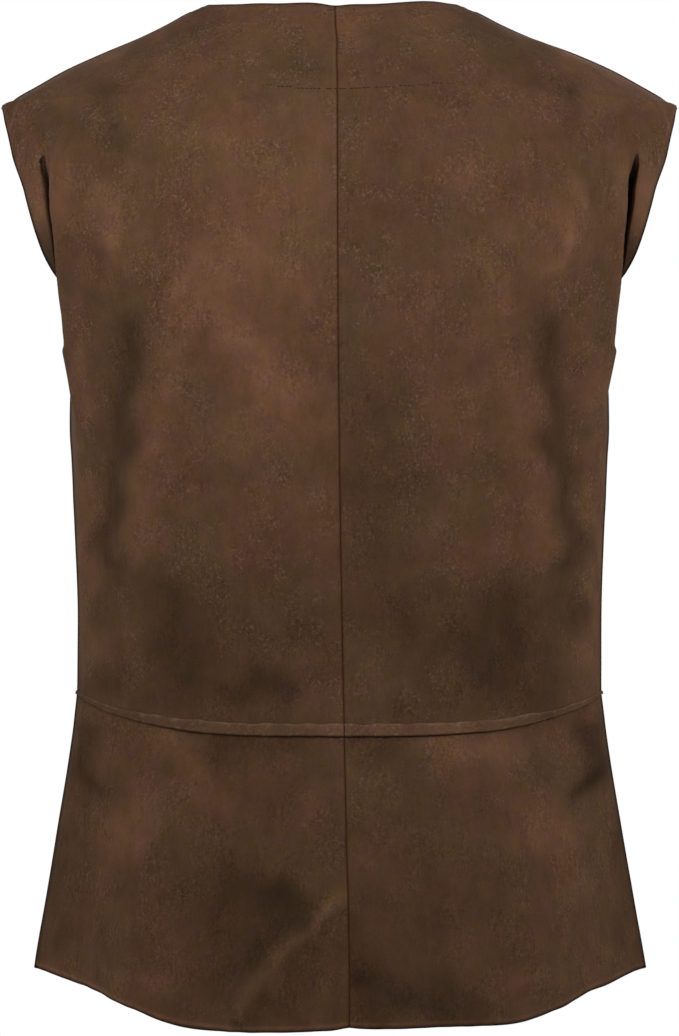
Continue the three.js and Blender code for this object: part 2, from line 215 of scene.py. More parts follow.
def suedeMaterial(name, offset, shade=1.0, flecked=1.0):
    # strength = tone * shade * (1 + patches + clouds + blotches + streaks + clustered fibres and tufts);
    # tone is an attribute that holds the nap's tone together with painted light and shade;
    # color = (red to olive) * strength * (ochre to rose), then paler where "pale" rises (painted
    # highlights) and on flecks, the wrong side's color on the inside, reddish where "crease" rises
    # (painted shade in seams), and near black where "dark" does (painted shade at edges, below the welt
    # and in the slit) and in pits
    shader = Shader(name)
    here = shader.place(offset)
    upright = shader.place(offset, (1, 1, suede["upright"]))

    def marks(kind, place, detail=2, rough=0.6):
        size, weight = suede[kind]
        return (shader.noise(place, size, detail, rough) - 0.5) * weight

    def spots(kind, detail=2, rough=0.5):
        size, low, high = suede[kind]
        return shader.level(shader.noise(here, size, detail, rough), low, high)

    clusters = spots("clusters")
    everywhere, inClusters = suede["broken"]
    broken = everywhere + clusters * inClusters
    tufts = marks("tufts", here)
    fibres = marks("fibres", upright)
    blotches = marks("blotches", here)
    soft = marks("patches", here, 3) + marks("clouds", here, 3) + blotches + marks("streaks", upright)
    strength = 1.0 + soft + (tufts + fibres) * broken
    napAndPaintedLight = shader.attribute("napAndPaintedLight") * shade
    olive = spots("hue") + (1.0 - napAndPaintedLight) * suede["shadedOlive"]
    rose = spots("tint", 3, 0.6)
    flecks = spots("flecks", 1) * (suede["fleckLeast"] + clusters)
    flecks = flecks * shader.level(napAndPaintedLight, *suede["fleckNap"]) * (suede["fleckPale"] * flecked)
    pits = spots("pits", 1)
    color = shader.scaled(shader.blend(olive, suede["red"], suede["olive"]), strength * napAndPaintedLight)
    color = shader.blend(rose, shader.tinted(color, suede["ochre"]), shader.tinted(color, suede["rose"]))
    color = shader.blend(shader.attribute("pale") + flecks, color, suede["pale"])
    inside = shader.attribute("inside") * suede["backingShare"]
    color = shader.blend(inside, color, suede["backing"])
    color = shader.blend(shader.attribute("crease"), color, suede["crease"])
    color = shader.blend(shader.attribute("dark") + pits * suede["pitDark"], color, suede["edge"])
    bump = shader.node("ShaderNodeBump", {}, {
        "Strength": suede["bumpStrength"], "Distance": suede["grainBump"],
        "Height": tufts + fibres + blotches * suede["blotchBump"]})
    shader.feed(shader.surface, {
        "Base Color": color, "Normal": bump, "Roughness": suede["roughness"],
        "Sheen Weight": suede["sheen"], "Specular IOR Level": suede["specular"]})
    return shader.material


def plainMaterial(name, color, roughness):
    shader = Shader(name)
    shader.feed(shader.surface, {"Base Color": color, "Roughness": roughness})
    return shader.material


measures = {
    "wall": 1.8,
    "thinner": 0.65,  # share of the wall that is taken off in the pleat where it is deepest
    "deepest": 14,
    "thinnerOver": 1.8,  # widths of the pleat
    "waistSide": -423,  # height of the waist seam at the side seams
    "waistDip": 23,
    "hemSide": -604,
    "hemDip": 26,
    "hemRise": {-1: 0.45, 1: 0.5},  # share of the half width where the hem starts to rise, left and right
    "leftHang": 3.1,  # how much lower the left half's hem hangs
    "leftHangTo": 0.65,  # out to this share of the half width
    "centreRise": 0.8,  # how much higher the back's is at the centre seam
    "centreOver": 0.03,
    "cornerHang": {-1: 2.3, 1: 3.4},  # and how much lower short of the side seams
    "cornerAt": 0.88,
    "cornerOver": 0.06,
    "underarm": -200,
    "shoulderTip": -35,
    "neckPoint": 30,
    "neckHalfWidth": 85,
    "backNeckDip": 5.0,
    "seamDip": 1.3,  # the neck edge dips at the centre back seam
    "seamDipOver": 0.08,
    "vDepth": 222,
    "frontGap": 3,
    "frontAtNeck": 2,  # width that is left of the front at the neck point
    "foldsFade": 0.88,
    "waistFollow": 150,  # rows follow the waist seam's dip this far above it
    "neckFollow": 60,  # and the back's neck edge this far below it
}

sectionNames = ("z", "halfWidth", "sway", "back", "front", "square", "roll", "open")
sections = [
    (-660, 209.2, 0, 121, 119, 2.2, 0.86, 0),
    (-604, 200.8, 0.3, 121, 118, 2.2, 0.82, 0),
    (-559, 192.9, 0.4, 119, 116, 2.2, 0.76, 0),
    (-506, 184, 0, 111, 110, 2.2, 0.68, 0),
    (-465, 177, 0, 98, 103, 2.3, 0.58, 0),
    (-440, 173.6, 0, 91, 100, 2.35, 0.53, 0),
    (-415, 171.6, 0, 90, 99, 2.4, 0.5, 0),
    (-374, 171.4, 0, 94, 102, 2.4, 0.5, 0),
    (-321, 173.1, 0, 101, 107, 2.4, 0.5, 0),
    (-290, 174.8, 0, 106, 110, 2.4, 0.5, 0),
    (-268, 177.6, 0, 110, 113, 2.4, 0.5, 0),
    (-229, 185.4, 0, 115, 117, 2.4, 0.5, 0),
    (-200, 189.6, 0, 118.5, 119, 2.4, 0.5, 0),
    (-195, 190.2, 0, 119, 119.2, 2.4, 0.5, 19),
    (-186, 193, 0, 119.6, 119.4, 2.4, 0.5, 30),
    (-172, 197.4, 0, 120.2, 119.4, 2.4, 0.5, 40),
    (-147, 207.4, 0, 120.6, 118.5, 2.4, 0.5, 50),
    (-123, 217, 0, 120, 116, 2.4, 0.5, 54),
    (-97, 224.3, 0, 118.5, 111, 2.4, 0.5, 53),
    (-71, 229, 0, 115.5, 104, 2.4, 0.5, 46),
    (-50, 227.5, 0, 110.5, 96, 2.4, 0.52, 32),
    (-40, 224.5, 0, 107, 91.5, 2.4, 0.55, 17),
    (-35.6, 222.4, 0, 105.2, 89.3, 2.4, 0.559, 1.2),
    (-35, 222, 0, 105, 89, 2.4, 0.56, 0),
    (-34.4, 219.6, 0, 104.8, 88.7, 2.4, 0.561, 0),
    (-26, 203.6, 0, 101.5, 84, 2.4, 0.58, 0),
    (-13, 180.6, -0.5, 96, 76, 2.4, 0.6, 0),
    (-2, 156, -1, 90.5, 68, 2.4, 0.6, 0),
    (8.5, 128.6, -2.7, 84, 60, 2.4, 0.58, 0),
    (17, 110, -3.6, 78, 52, 2.4, 0.56, 0),
    (25, 95.2, -4.2, 71.5, 44, 2.4, 0.54, 0),
    (30, 85, -4.5, 68, 40, 2.4, 0.52, 0),
]

pleatNames = ("z", "depth", "at", "width")
pleatRows = [
    (-300, 0, 1, 0.05),
    (-260, 3, 1, 0.05),
    (-229, 9, 1, 0.04),
    (-200, 14, 1, 0.03),
    (-172, 14, 1, 0.022),
    (-147, 12, 0.985, 0.016),
    (-123, 12, 0.968, 0.017),
    (-97, 12, 0.952, 0.02),
    (-82, 7.5, 0.928, 0.019),
    (-71, 2.5, 0.900, 0.018),
    (-64, 0.4, 0.889, 0.018),
    (-57, 0, 0.885, 0.018),
]

# The slit that opens behind the body's edge of that pleat: how deep it runs towards the other face.
slitNames = ("z", "deep")
slitRows = [(-159, 0), (-147, 14), (-123, 15), (-97, 12), (-84, 7), (-76, 3), (-70, 0)]
slit = {
    "past": 0.5,  # behind the pleat's middle, in widths of the pleat
    "width": 0.135,
    "foldAt": -2.2,  # where the body's edge turns in, in the same widths
    "foldWidth": 0.4,
    "flapOver": 0.5,
    "foldFull": 11,  # depth of the pleat from which fold and flap show fully
    "foldAbove": 4,  # the underarm
    "darkFull": 10,  # depth of the slit from which it is fully dark
    "fromEdge": 2.5,  # it closes this far from the armhole's edge
    "length": 28,  # of cloth down into it and out again, for which columns are kept
    "spread": 0.35,  # they lie this far to either side of it, in widths of the pleat
    "keptFrom": (-230, 40),  # height where that begins, and over how much
    "keptTo": (-20, 45),  # and where it ends
}

driftNames = ("z", "x")
driftRows = [(-630, 6), (-444, 3), (-300, 0.4), (-160, -1), (-20, -1.4), (24, 1)]

# Soft folds along lines seen from behind or in front: face, side (0 for both), x, z, toX, toZ, width,
# height. x counts outwards from the centre and a negative height is a trough.
folds = [
    ("back", 0, 88, -92, 100, -180, 44, 5),
    ("back", 0, 106, -140, 144, -335, 15, 4.5),
    ("back", 0, 148, -215, 153, -380, 13, -4.5),
    ("back", 0, 106, -355, 108, -430, 11, -3),
    ("back", 0, 2, -60, 2, -330, 26, -3),
    ("back", -1, 20, -385, 55, -425, 10, -1.6),
    ("back", 1, 46, -350, 62, -420, 9, 2),
    ("back", 0, 160, -452, 170, -480, 13, -4),
    ("back", -1, 104, -462, 134, -600, 17, 6),
    ("back", 1, 92, -462, 128, -600, 18, 6),
    ("back", -1, 48, -500, 92, -626, 15, -5),
    ("back", 1, 40, -510, 66, -630, 17, -5),
    ("back", -1, 20, -560, 66, -624, 9, 4),
    ("back", 0, 168, -530, 176, -610, 13, -4),
    ("front", 0, 84, -120, 84, -190, 46, 4),
    ("front", 0, 110, -170, 138, -340, 16, 4),
    ("front", 0, 147, -225, 152, -380, 13, -4),
    ("front", 0, 90, -350, 96, -430, 13, -3),
    ("front", 0, 160, -452, 168, -480, 13, -4),
    ("front", 0, 96, -465, 122, -610, 18, 6),
    ("front", 0, 52, -505, 66, -628, 16, -5),
    ("front", 0, 166, -530, 174, -610, 13, -4),
]


def smoothColumn(rows, names, name):
    # monotone cubic through one column of a table: slopes are harmonic means of the secants
    z = np.array([row[0] for row in rows], float)
    value = np.array([row[names.index(name)] for row in rows], float)
    run = np.diff(z)
    secant = np.diff(value) / run
    slope = np.zeros_like(value)
    before, after = secant[:-1], secant[1:]
    turning = before * after <= 0
    safe = np.where(turning, 1, before + after)
    slope[1:-1] = np.where(turning, 0, 2 * before * after / safe)

    def at(height):
        height = np.clip(height, z[0], z[-1])
        i = np.clip(np.searchsorted(z, height, side="right") - 1, 0, len(z) - 2)
        t = (height - z[i]) / run[i]
        return (
            value[i] * (1 + 2 * t) * (1 - t) ** 2 + slope[i] * run[i] * t * (1 - t) ** 2
            + value[i + 1] * t * t * (3 - 2 * t) - slope[i + 1] * run[i] * t * t * (1 - t))

    return at


form = {name: smoothColumn(sections, sectionNames, name) for name in sectionNames[1:]}
pleat = {name: smoothColumn(pleatRows, pleatNames, name) for name in pleatNames[1:]}
slitDeep = smoothColumn(slitRows, slitNames, "deep")
seamDrift = smoothColumn(driftRows, driftNames, "x")


def smoothstep(t):
    t = np.clip(t, 0, 1)
    return t * t * (3 - 2 * t)


def risesFrom(z, start):
    height, over = start
    return smoothstep((z - height) / over)


def hump(distance, width):
    return np.exp(-((distance / width) ** 2))


def unit(vectors):
    return vectors / np.linalg.norm(vectors, axis=-1, keepdims=True)


def waistAt(s):
    return measures["waistSide"] - measures["waistDip"] * (1 - s ** 3.5)


def hemAt(face, side, s):
    # rises from the middle to the side seams, and hangs lower by a hump at the centre and at the corners
    rise = measures["hemRise"][side]
    hang = measures["cornerHang"][side] * hump(s - measures["cornerAt"], measures["cornerOver"])
    if face == "back":
        hang = hang - measures["centreRise"] * hump(s, measures["centreOver"])
    if side < 0:
        arch = np.sin(np.pi * np.minimum(1, s / measures["leftHangTo"]))
        hang = hang + measures["leftHang"] * np.maximum(0, arch) ** 0.8
    return measures["hemSide"] - measures["hemDip"] * (1 - smoothstep((s - rise) / (1 - rise))) - hang


def backNeckAt(s):
    arc = measures["backNeckDip"] * np.maximum(0, 1 - s ** 3) ** 0.8
    return measures["neckPoint"] - arc - measures["seamDip"] * hump(s, measures["seamDipOver"])


def nearLine(line, u, z):
    # exp(-(distance to the line / width)^2)
    fromX, fromZ, toX, toZ, width = line
    runX, runZ = toX - fromX, toZ - fromZ
    t = np.clip(((u - fromX) * runX + (z - fromZ) * runZ) / (runX ** 2 + runZ ** 2), 0, 1)
    return hump(np.hypot(u - fromX - t * runX, z - fromZ - t * runZ), width)


def foldLift(face, x, z):
    # sum of height * nearness over the folds of one face
    lift = np.zeros_like(x)
    for foldFace, side, *line, height in folds:
        if foldFace == face:
            lift += np.where(side * x >= 0, height * nearLine(line, np.abs(x), z), 0)
    return lift


def reachOf(face, z):
    # share of the half width that is left where the armhole cuts a section off
    return (1 - (form["open"](z) / form[face](z)) ** (1 / form["roll"](z))) ** (1 / form["square"](z))


def clothPoint(face, side, s, z, slitShare=1):
    # x = halfWidth s reach - tuck, y = depth (1 - (s reach)^square)^roll - slit, then folds lift it
    outward = -1 if face == "back" else 1
    halfWidth, depth, square = form["halfWidth"](z), form[face](z), form["square"](z)
    reach = reachOf(face, z)
    bow = np.maximum(0, 1 - (s * reach) ** square) ** form["roll"](z)
    drift = seamDrift(z) * (1 - s) ** 1.5 if face == "back" else 0
    inPleat = (s - pleat["at"](z)) / pleat["width"](z)
    tuck = pleat["depth"](z) * hump(inPleat, 1)
    x = side * (halfWidth * s * reach - tuck) + form["sway"](z) + drift
    slitDepth = slitShare * slitDeep(z) * hump(inPleat - slit["past"], slit["width"])
    slitDepth *= smoothstep((1 - s) * halfWidth / slit["fromEdge"])
    y = outward * (depth * bow - slitDepth)
    towardsX, towardsY = x / halfWidth ** 2, y / depth ** 2
    size = np.hypot(towardsX, towardsY)
    fade = 1 - smoothstep((s - measures["foldsFade"]) / (1 - measures["foldsFade"]))
    lift = foldLift(face, x, z) * fade / size
    return np.stack([x + lift * towardsX, y + lift * towardsY, z], axis=-1)


def frontEdgeShare(z):
    # share of the half width where the front's free edge lies: upright, then out along the neckline
    upV = np.maximum(0, (z - (measures["neckPoint"] - measures["vDepth"])) / measures["vDepth"])
    half = measures["frontGap"] / 2
    neckEdge = half + (measures["neckHalfWidth"] - measures["frontAtNeck"] - half) * upV ** 0.9
    return neckEdge / (form["halfWidth"](z) * reachOf("front", z))


facing = {
    "low": -35,  # height of its lower edge at the centre back
    "atShoulder": 8,
    "wall": 1.0,
    "gap": 0.1,  # from the cloth at the neck edge
    "overTurnings": 0.75,  # and more of it further down, where it lies over the turnings
    "overWithin": 5,  # millimetres below the neck edge
    "rows": 34,
    "below": 0.9,
    "printed": 0.24,  # how far its lower edge prints through
    "printedBelow": 1.5,
    "printedWidth": 1.1,
    "printedTo": 0.85,  # share of the half width
    "printedFades": 0.4,
    # painted shade along its lower edge, and how far it reaches
    "edgeDark": 0.5,
    "edgeReach": 0.7,
}


def facingLowAt(s):
    return facing["low"] + (facing["atShoulder"] - facing["low"]) * s ** 2


relief = {
    "seed": 11,
    "waves": 16,  # slow waves of the cloth
    "shortest": 26,  # their lengths in millimetres
    "longest": 110,
    "steepness": 0.013,  # height of a wave over its length
    "atSides": 0.1,  # share of the waves that is left at the side and shoulder seams
    "sidesWithin": 0.1,  # of the half width
    "rowLength": 190,  # of a usual row, from the centre to the side
    "seamStand": 1.5,  # how proud the side and shoulder seams stand over their turnings
    "seamWidth": 2.1,
    "seamBegins": {"underarm": 8, "tip": 5, "neck": 12},  # over how many millimetres it rises there
    # puckers: height, how far they reach from the seam and random seed
    "seamPucker": (0.25, 5, 7),
    "waistPucker": (0.4, 9, 3),
    "hemPucker": (0.45, 8, 5),
    "puckerWaves": 5,
    "puckerLengths": (7, 24),
    "edgeRidge": 0.32,  # height of the ridge where a seam allowance ends inside
    # how far from the edge each ridge lies and its width
    "neckRidge": (5.6, 0.9),
    "frontRidge": (5.6, 1.0),
    "frontRidgeFrom": (-215, 20),  # height where it begins, and over how much
    "sideRidge": (11.0, 1.6),
    "armholeRidge": (7.0, 1.3),
    "armholeRidgeFrom": (-78, 16),
    "armholeHigher": 1.2,
}


def slowWaves(points, seed, count, shortest, longest):
    # sines over space, each with its own direction and phase and as high as it is long; their sum * 1.4 /
    # root of their count is about as high as one of them
    draw = np.random.default_rng(seed)
    total = np.zeros(points.shape[:-1])
    for _ in range(count):
        length = draw.uniform(shortest, longest)
        direction = draw.normal(size=points.shape[-1])
        direction /= np.linalg.norm(direction)
        phase = draw.uniform(0, 2 * np.pi)
        total += length * np.sin(points @ direction * (2 * np.pi / length) + phase)
    return total / math.sqrt(count) * 1.4


def pucker(along, seed, away=0, reach=1):
    # uneven waves along a seam that die out away from it: sum of sines / 2.4 * exp(-away / reach)
    draw = np.random.default_rng(seed)
    wave = 0
    for _ in range(relief["puckerWaves"]):
        length = draw.uniform(*relief["puckerLengths"])
        phase = draw.uniform(0, 2 * np.pi)
        wave = wave + np.sin(along * (2 * np.pi / length) + phase) * draw.uniform(0.5, 1)
    return wave / 2.4 * np.exp(-away / reach)


def seamPucker(kind, along, away):
    height, reach, seed = relief[kind]
    return height * pucker(along, seed, away, reach)


def ridge(at, width, away):
    # a crest with a shallower trough beyond it
    return hump(away - at, width) - 0.7 * hump(away - at - 2 * width, width)


def fineLift(grid):
    # waves + puckers at the seams and edges + the ridges that inner layers print through
    points, s, z = grid["points"], grid["s"], grid["points"][..., 2]
    lift = relief["steepness"] * slowWaves(
        points, relief["seed"], relief["waves"], relief["shortest"], relief["longest"])
    lift *= relief["atSides"] + (1 - relief["atSides"]) * smoothstep((1 - s) / relief["sidesWithin"])
    along = s * relief["rowLength"] * grid["side"]
    lift += seamPucker("waistPucker", along, grid["toWaist"])
    begins, crest = relief["seamBegins"], relief["edgeRidge"]
    below = smoothstep((measures["underarm"] - z) / begins["underarm"])
    sewn = np.maximum(below, smoothstep((z - measures["shoulderTip"]) / begins["tip"]))
    if grid["part"] == "bodice":
        sewn = sewn * smoothstep(grid["toNeck"] / begins["neck"])
    lift += relief["seamStand"] * sewn * hump(grid["toSide"], relief["seamWidth"])
    sideAt, sideWidth = relief["sideRidge"]
    lift += crest * below * hump(grid["toSide"] - sideAt, sideWidth)
    if grid["part"] == "peplum":
        return lift + seamPucker("hemPucker", along, grid["toHem"])
    armhole = crest * relief["armholeHigher"] * ridge(*relief["armholeRidge"], grid["toSide"])
    lift += risesFrom(z, relief["armholeRidgeFrom"]) * np.where(isSideSeam(grid)[:, None], 0, armhole)
    if grid["face"] == "back":
        lift += crest * ridge(*relief["neckRidge"], grid["toNeck"])
        printed = facing["printed"] * smoothstep((facing["printedTo"] - s) / facing["printedFades"])
        lift += printed * ridge(-facing["printedBelow"], facing["printedWidth"], facingLowAt(s) - z)
        lift += seamPucker("seamPucker", z, grid["toCentre"])
    else:
        begun = risesFrom(z, relief["frontRidgeFrom"])
        lift += crest * begun * ridge(*relief["frontRidge"], grid["toCentre"])
    return lift


mesh = {
    "edgeSteps": [0, 0.12, 0.3, 0.55, 0.9, 1.4, 2.1, 3.1, 4.5, 6.3],  # millimetres in from each border
    "fullSteps": 40,  # on shorter rows those steps are in proportion
    "dense": 1400,  # points along a row on which its length is measured
    "columns": {"back": 128, "front": 84},  # between the edge steps
    "crowding": 1.35,  # over 1, the columns stand closer towards the side seams
    "peplumRows": 76,
    "squareWithin": 5.0,  # normals turn square to a seam over this many millimetres
    "bodiceStretches": [  # from height to height, with the step between rows
        (-416, -206, 2.4), (-206, -180, 0.8), (-180, -140, 1.1), (-140, -60, 2.2), (-60, -30, 0.9),
        (-30, 23.7, 1.3)],
}


def bodiceLevels():
    steps = np.array(mesh["edgeSteps"])
    middle = [np.arange(low, high, step) for low, high, step in mesh["bodiceStretches"]]
    return np.concatenate([measures["waistSide"] + steps, *middle, measures["neckPoint"] - steps[::-1]])


def peplumLevels():
    # share of the way from the hem up to the waist seam
    drop = measures["waistSide"] - measures["hemSide"]
    steps = np.array(mesh["edgeSteps"]) / drop
    middle = np.linspace(steps[-1], 1 - steps[-1], mesh["peplumRows"])[1:-1]
    return np.concatenate([steps, middle, 1 - steps[::-1]])


def clothRows(face, side, part, level, s, slitShare=1):
    # a bodice row keeps its level except near the waist seam and the neckline, which it follows
    if part == "peplum":
        top = waistAt(s)
        z = top + (hemAt(face, side, s) - top) * (1 - level)
    else:
        nearWaist = np.maximum(0, 1 - (level - measures["waistSide"]) / measures["waistFollow"]) ** 2
        z = level + (waistAt(s) - measures["waistSide"]) * nearWaist
        if face == "back":
            belowNeck = (measures["neckPoint"] - level) / measures["neckFollow"]
            z = z + (backNeckAt(s) - measures["neckPoint"]) * np.maximum(0, 1 - belowNeck) ** 1.5
    return clothPoint(face, side, s, z, slitShare)


def lengthsAlong(points, axis):
    step = np.linalg.norm(np.diff(points, axis=axis), axis=-1)
    start = np.zeros_like(np.take(step, [0], axis=axis))
    return np.concatenate([start, np.cumsum(step, axis=axis)], axis=axis)


def gridNormals(points, sign):
    across = np.gradient(points, axis=1)
    up = np.gradient(points, axis=0)
    return unit(np.cross(across, up) * sign)


def smoothed(normals, passes):
    for _ in range(passes):
        wide = np.pad(normals, ((1, 1), (1, 1), (0, 0)), mode="edge")
        beside = wide[:-2, 1:-1], wide[2:, 1:-1], wide[1:-1, :-2], wide[1:-1, 2:]
        normals = unit(sum(beside, wide[1:-1, 1:-1] * 2))
    return normals


def slitCloth(levels, s):
    # length of the slit's cloth that a row has passed at s: length * (0, 1 and 0 again up the armhole) *
    # (0 to 1 across the slit). It counts from far below the slit up, so that the columns run along it
    wide = pleat["width"](levels)
    middle = np.minimum(pleat["at"](levels) + slit["past"] * wide, 1 - slit["spread"] * wide)
    top, over = slit["keptTo"]
    kept = risesFrom(levels, slit["keptFrom"]) * smoothstep((top - levels) / over)
    return slit["length"] * kept * smoothstep((s - middle) / (2 * slit["spread"] * wide) + 0.5)


def panelGrid(face, side, part):
    # the cloth's outer face on rows of equal level, with columns at even steps of length along each row
    levels = (bodiceLevels() if part == "bodice" else peplumLevels())[:, None]
    edgeLevels = levels if part == "bodice" else np.full_like(levels, measures["waistSide"])
    start = 0 if face == "back" else frontEdgeShare(edgeLevels)
    dense = np.sin(np.linspace(0, np.pi / 2, mesh["dense"]))[None, :]
    s = start + (1 - start) * dense + 0 * levels
    along = lengthsAlong(clothRows(face, side, part, levels, s, 0), 1) + slitCloth(edgeLevels, s)
    length = along[:, -1:]
    steps = np.array(mesh["edgeSteps"])[None, :] * np.minimum(1, length / mesh["fullSteps"])
    shares = 1 - (1 - np.linspace(0, 1, mesh["columns"][face] + 2)[None, 1:-1]) ** mesh["crowding"]
    inner = steps[:, -1:] + (length - 2 * steps[:, -1:]) * shares
    wanted = np.concatenate([steps, inner, (length - steps)[:, ::-1]], axis=1)
    s = np.array([np.interp(row, lengths, at) for row, lengths, at in zip(wanted, along, s)])
    points = clothRows(face, side, part, levels, s)
    across, up = lengthsAlong(points, 1), lengthsAlong(points, 0)
    down = up[-1:, :] - up
    isFlipped = side < 0 if face == "back" else side > 0
    grid = {
        "face": face, "side": side, "part": part, "sign": -1 if isFlipped else 1, "s": s, "points": points,
        "toCentre": across, "toSide": across[:, -1:] - across}
    grid.update({"toWaist": up, "toNeck": down} if part == "bodice" else {"toHem": up, "toWaist": down})
    z = points[..., 2]
    nearPleat = hump((s - pleat["at"](z)) / pleat["width"](z), measures["thinnerOver"])
    thinner = measures["thinner"] * nearPleat * pleat["depth"](z) / measures["deepest"]
    grid["wall"] = measures["wall"] * (1 - thinner)
    squareToSeams(grid)
    grid["points"] = points + grid["normals"] * fineLift(grid)[..., None]
    squareToSeams(grid)
    return grid


def isSideSeam(grid):
    z = grid["points"][:, -1, 2]
    return (z <= measures["underarm"] + 0.5) | (z >= measures["shoulderTip"] - 0.5)


def squareToSeams(grid):
    # normals that turn straight through the cloth towards the centre back seam and the side seams
    normals = gridNormals(grid["points"], grid["sign"])
    if grid["face"] == "back":
        normals[..., 0] *= smoothstep(grid["toCentre"] / mesh["squareWithin"])
    toSide = np.where(isSideSeam(grid)[:, None], grid["toSide"], mesh["squareWithin"])
    normals[..., 1] *= smoothstep(toSide / mesh["squareWithin"])
    normals = unit(normals)
    grid["normals"] = normals
    soft = smoothed(normals, 2)
    soft[:, [0, -1]] = normals[:, [0, -1]]
    grid["softNormals"] = soft


def fallBack(distance, radius):
    # how far a rounded edge lies back from the surface: a quarter circle
    return radius * (1 - np.sqrt(1 - (1 - np.minimum(distance / radius, 1)) ** 2))


# the cloth's tone: its strokes, with painted light and shade
toneAndPaintedLight = {
    "strength": 1.2,  # of all strokes
    "wander": 0.07,  # how far a stroke's line wanders over its waves' length
    "wanderWaves": (6, 16, 44),  # their number, shortest and longest
    "sideShade": 0.16,  # painted shade: how much darker it is towards a side seam
    "shadeReach": 16,  # from this far in, over the next value
    "shadeOver": 13,
    "shoulderHighlight": 0.30,  # painted highlight: how much lighter it is just inside a shoulder seam
    "shoulderAt": 7,
    "shoulderWidth": 5,
    "hemFoldHighlight": {-1: 0.50, 1: 0.30},  # painted highlight: how much lighter it is along the hem's fold, left and right
    "hemUneven": 0.5,
    "hemLine": (2.6, 1.3),  # how far that line lies from the edge, and its width
    "hemLighter": {-1: 0.22, 1: 0.06},  # and over the hem's whole width
    "hemWidth": 7.5,
    "wingPaintedLight": 0.27,  # painted light: how much lighter the flap behind the armhole's slit is
    "wingFootShade": 1.0,  # and the painted shade at its foot
    "wingFootFrom": -104,  # from this height down, over the next value
    "wingFootOver": 44,
}

# Strokes of nap tone and painted light and shade, lighter or darker along lines: face, side (0 for both),
# x, z, toX, toZ, width, change of brightness. x counts outwards from the centre.
strokesOfNapAndLight = [
    ("back", -1, 75, -60, 55, -135, 42, 0.14),
    ("back", 1, 100, -75, 95, -130, 30, 0.10),
    ("back", 1, 110, -20, 150, -36, 13, -0.10),
    ("back", 0, 120, 6, 196, -34, 12, 0.16),
    ("back", 0, 100, 19, 150, -2, 4.5, 0.30),
    ("back", 0, 150, -2, 198, -26, 4.5, 0.30),
    ("back", 1, 145, -110, 150, -130, 22, 0.10),
    ("back", 1, 40, -300, 50, -360, 36, -0.10),
    ("back", -1, 160, -412, 130, -424, 10, -0.13),
    ("back", 0, 0, 12, 62, 14, 17, 0.15),
    ("back", 0, 20, -18, 60, -20, 14, -0.07),
    ("back", 0, 188, -47, 165, -60, 9, -0.15),
    ("back", 0, 150, -38, 142, -64, 8, -0.16),
    ("back", 0, 192, -72, 192, -112, 6, 0.16),
    ("back", 0, 180, -85, 178, -112, 8, 0.18),
    ("back", 0, 152, -98, 147, -128, 8, 0.28),
    ("back", 0, 147, -128, 135, -150, 7, 0.22),
    ("back", 0, 138, -92, 128, -135, 16, 0.16),
    ("back", 0, 95, -146, 134, -327, 12, 0.30),
    ("back", 0, 132, -185, 149, -335, 10, -0.34),
    ("back", 0, 106, -366, 98, -410, 21, -0.30),
    ("back", -1, 79, -178, 34, -232, 10, 0.24),
    ("back", -1, 72, -165, 40, -235, 24, 0.16),
    ("back", -1, 63, -128, 22, -164, 9, 0.14),
    ("back", -1, 12, -60, 12, -300, 26, 0.10),
    ("back", -1, 10, -255, 60, -262, 20, 0.09),
    ("back", 1, 84, -192, 90, -235, 9, 0.14),
    ("back", 1, 14, -200, 16, -360, 24, -0.09),
    ("back", 0, 70, -240, 80, -320, 28, 0.10),
    ("back", 0, 168, -200, 166, -400, 8, 0.18),
    ("back", -1, 150, -365, 146, -415, 12, -0.12),
    ("back", 1, 146, -368, 132, -425, 15, -0.20),
    ("back", -1, 52, -360, 14, -440, 7, 0.09),
    ("back", 1, 58, -370, 44, -420, 9, 0.12),
    ("back", 1, 30, -395, 28, -415, 8, 0.12),
    ("back", -1, 64, -418, 36, -414, 13, -0.26),
    ("back", 0, 60, -390, 56, -425, 40, -0.09),
    ("back", 0, 40, -505, 44, -565, 40, -0.08),
    ("back", 0, 168, -448, 164, -478, 10, -0.34),
    ("back", 1, 164, -475, 158, -488, 9, -0.18),
    ("back", -1, 108, -449, 90, -476, 9, 0.18),
    ("back", 1, 60, -452, 112, -460, 12, 0.20),
    ("back", -1, 24, -450, 76, -454, 12, -0.22),
    ("back", 1, 6, -448, 32, -452, 10, -0.16),
    ("back", 0, 122, -492, 134, -512, 14, 0.26),
    ("back", 0, 140, -512, 154, -545, 16, 0.12),
    ("back", -1, 58, -538, 26, -552, 15, -0.22),
    ("back", -1, 34, -548, 48, -582, 12, -0.18),
    ("back", 0, 20, -605, 60, -610, 26, -0.12),
    ("back", 1, 120, -480, 130, -540, 26, -0.08),
    ("back", 1, 0, -626, 8, -626, 3, 0.35),
    ("back", -1, 80, -540, 66, -590, 18, -0.16),
    ("back", -1, -2, -545, 62, -614, 5.5, 0.38),
    ("back", -1, 8, -610, 12, -618, 8, 0.20),
    ("back", 1, 7, -565, 10, -600, 8, -0.22),
    ("back", 1, 20, -602, 88, -625, 14, -0.22),
    ("back", 0, 116, -608, 142, -602, 11, 0.20),
    ("back", 0, 182, -515, 187, -585, 8, -0.15),
    ("front", 0, 120, -60, 96, -150, 34, 0.12),
    ("front", 0, 98, -160, 130, -320, 14, 0.20),
    ("front", 0, 142, -210, 150, -330, 13, -0.22),
    ("front", 0, 70, -300, 60, -400, 24, -0.14),
    ("front", -1, 30, -240, 60, -300, 14, 0.14),
    ("front", 1, 22, -330, 44, -410, 16, 0.10),
    ("front", 0, 110, -470, 140, -540, 18, 0.20),
    ("front", -1, 60, -520, 40, -600, 18, -0.20),
    ("front", 1, 56, -530, 74, -610, 20, -0.16),
    ("front", 0, 165, -450, 160, -490, 12, -0.22),
]

